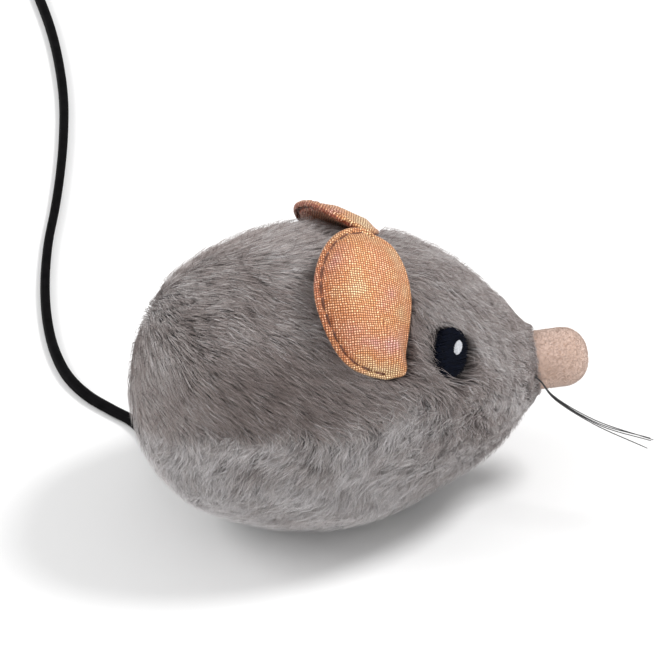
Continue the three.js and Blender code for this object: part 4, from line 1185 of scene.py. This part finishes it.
soften = washer.modifiers.new("edge", "BEVEL")
soften.width = 0.15 * MM
soften.segments = 2
apply_modifiers(washer)
bpy.data.objects.remove(hole)
settle(washer, "key_washer", felt)

# %% [markdown]
# ## Motor finishes
# The motor's parts keep their CAD shapes. Moulded pieces get a fine grain and a little shading,
# metal ones get brushed marks and dulled patches, and the tyres a rubber bloom.

# %% Motor finishes
def moulded(name, dark, light, roughness, grain_scale, grain_depth, metallic=0.0):
    finish, shader = new_finish(name, roughness=roughness, metallic=metallic)
    fine = noise(finish, grain_scale, 3)
    broad = noise(finish, 120, 3)
    join(finish, shades(finish, broad, (0.3, dark), (0.7, light)), shader.inputs["Base Color"])
    rubbed = sum_node(finish, "MULTIPLY_ADD", fine, 0.3)
    rubbed.node.inputs[2].default_value = roughness - 0.15
    join(finish, rubbed, shader.inputs["Roughness"])
    bump(finish, shader, fine, 0.4, grain_depth)
    return finish


FINISHES = {
    "stuffing": moulded("filling", (0.72, 0.71, 0.68), (0.86, 0.85, 0.83), 0.95, 700, 0.0005),
    "case": moulded("case_plastic", (0.022, 0.024, 0.028), (0.034, 0.037, 0.042), 0.5, 1800, 0.00003),
    "key": moulded("key_plastic", (0.78, 0.74, 0.66), (0.86, 0.83, 0.76), 0.42, 1500, 0.00003),
    "nylon": moulded("white_nylon", (0.76, 0.73, 0.66), (0.84, 0.82, 0.76), 0.4, 1500, 0.00002),
    "steel": moulded("steel", (0.48, 0.49, 0.51), (0.62, 0.63, 0.65), 0.35, 2600, 0.00001, 1.0),
    "brass": moulded("brass", (0.60, 0.42, 0.15), (0.74, 0.54, 0.22), 0.35, 2600, 0.00001, 1.0),
    "rubber": moulded("tyre_rubber", (0.014, 0.014, 0.014), (0.026, 0.026, 0.026), 0.8, 2200, 0.00004),
}
WEARS = {
    "stuffing": ["stuffing"],
    "case": ["case_right", "case_left", "belly_plate"],
    "key": ["winding_key"],
    "nylon": ["second_wheel", "governor_pinion", "drive_pinion", "wheel_hub_right", "wheel_hub_left",
              "rear_roller"],
    "steel": ["winding_arbor", "ratchet_wheel", "ratchet_click", "mainspring", "second_arbor",
              "governor_arbor", "drive_axle", "case_screw_1", "case_screw_2", "case_screw_3",
              "plate_screw_right", "plate_screw_left", "roller_pin"],
    "brass": ["great_wheel", "governor_weight"],
    "rubber": ["tyre_right", "tyre_left"],
}
for word, names in WEARS.items():
    for name in names:
        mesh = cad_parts[name].data
        mesh.materials.clear()
        mesh.materials.append(FINISHES[word])

# %% [markdown]
# ## Floor and light
# The floor is plain and pale. A large soft light stands above and to the front, a second one fills
# from the rear, and the pale sky lights the shadows.

# %% Floor
bpy.ops.object.select_all(action="DESELECT")
bpy.ops.mesh.primitive_plane_add(size=6, location=(0, 0, 0))
floor = bpy.context.active_object
floor.name = "floor"
white_floor, floor_shader = new_finish("pale_floor", roughness=0.9)
floor_shader.inputs["Base Color"].default_value = (0.86, 0.86, 0.86, 1)
floor.data.materials.append(white_floor)

# %% Lights
def soft_light(name, place, size, power):
    lamp = bpy.data.objects.new(name, bpy.data.lights.new(name, "AREA"))
    bpy.context.scene.collection.objects.link(lamp)
    lamp.data.shape = "DISK"
    lamp.data.size = size
    lamp.data.energy = power
    lamp.location = place
    lamp.rotation_euler = (-Vector(place)).to_track_quat("-Z", "Y").to_euler()
    return lamp


soft_light("key_light", (0.75, 0.05, 1.0), 0.4, 11.5)
soft_light("fill_light", (-0.1, -1.25, 0.22), 0.9, 5.6)
soft_light("rear_light", (-0.9, 0.2, 0.7), 0.8, 6.5)
world = bpy.data.worlds.new("studio")
world.use_nodes = True
world.node_tree.nodes["Background"].inputs["Color"].default_value = (1, 1, 1, 1)
world.node_tree.nodes["Background"].inputs["Strength"].default_value = 0.62
bpy.context.scene.world = world
bpy.context.scene.view_settings.view_transform = "Standard"
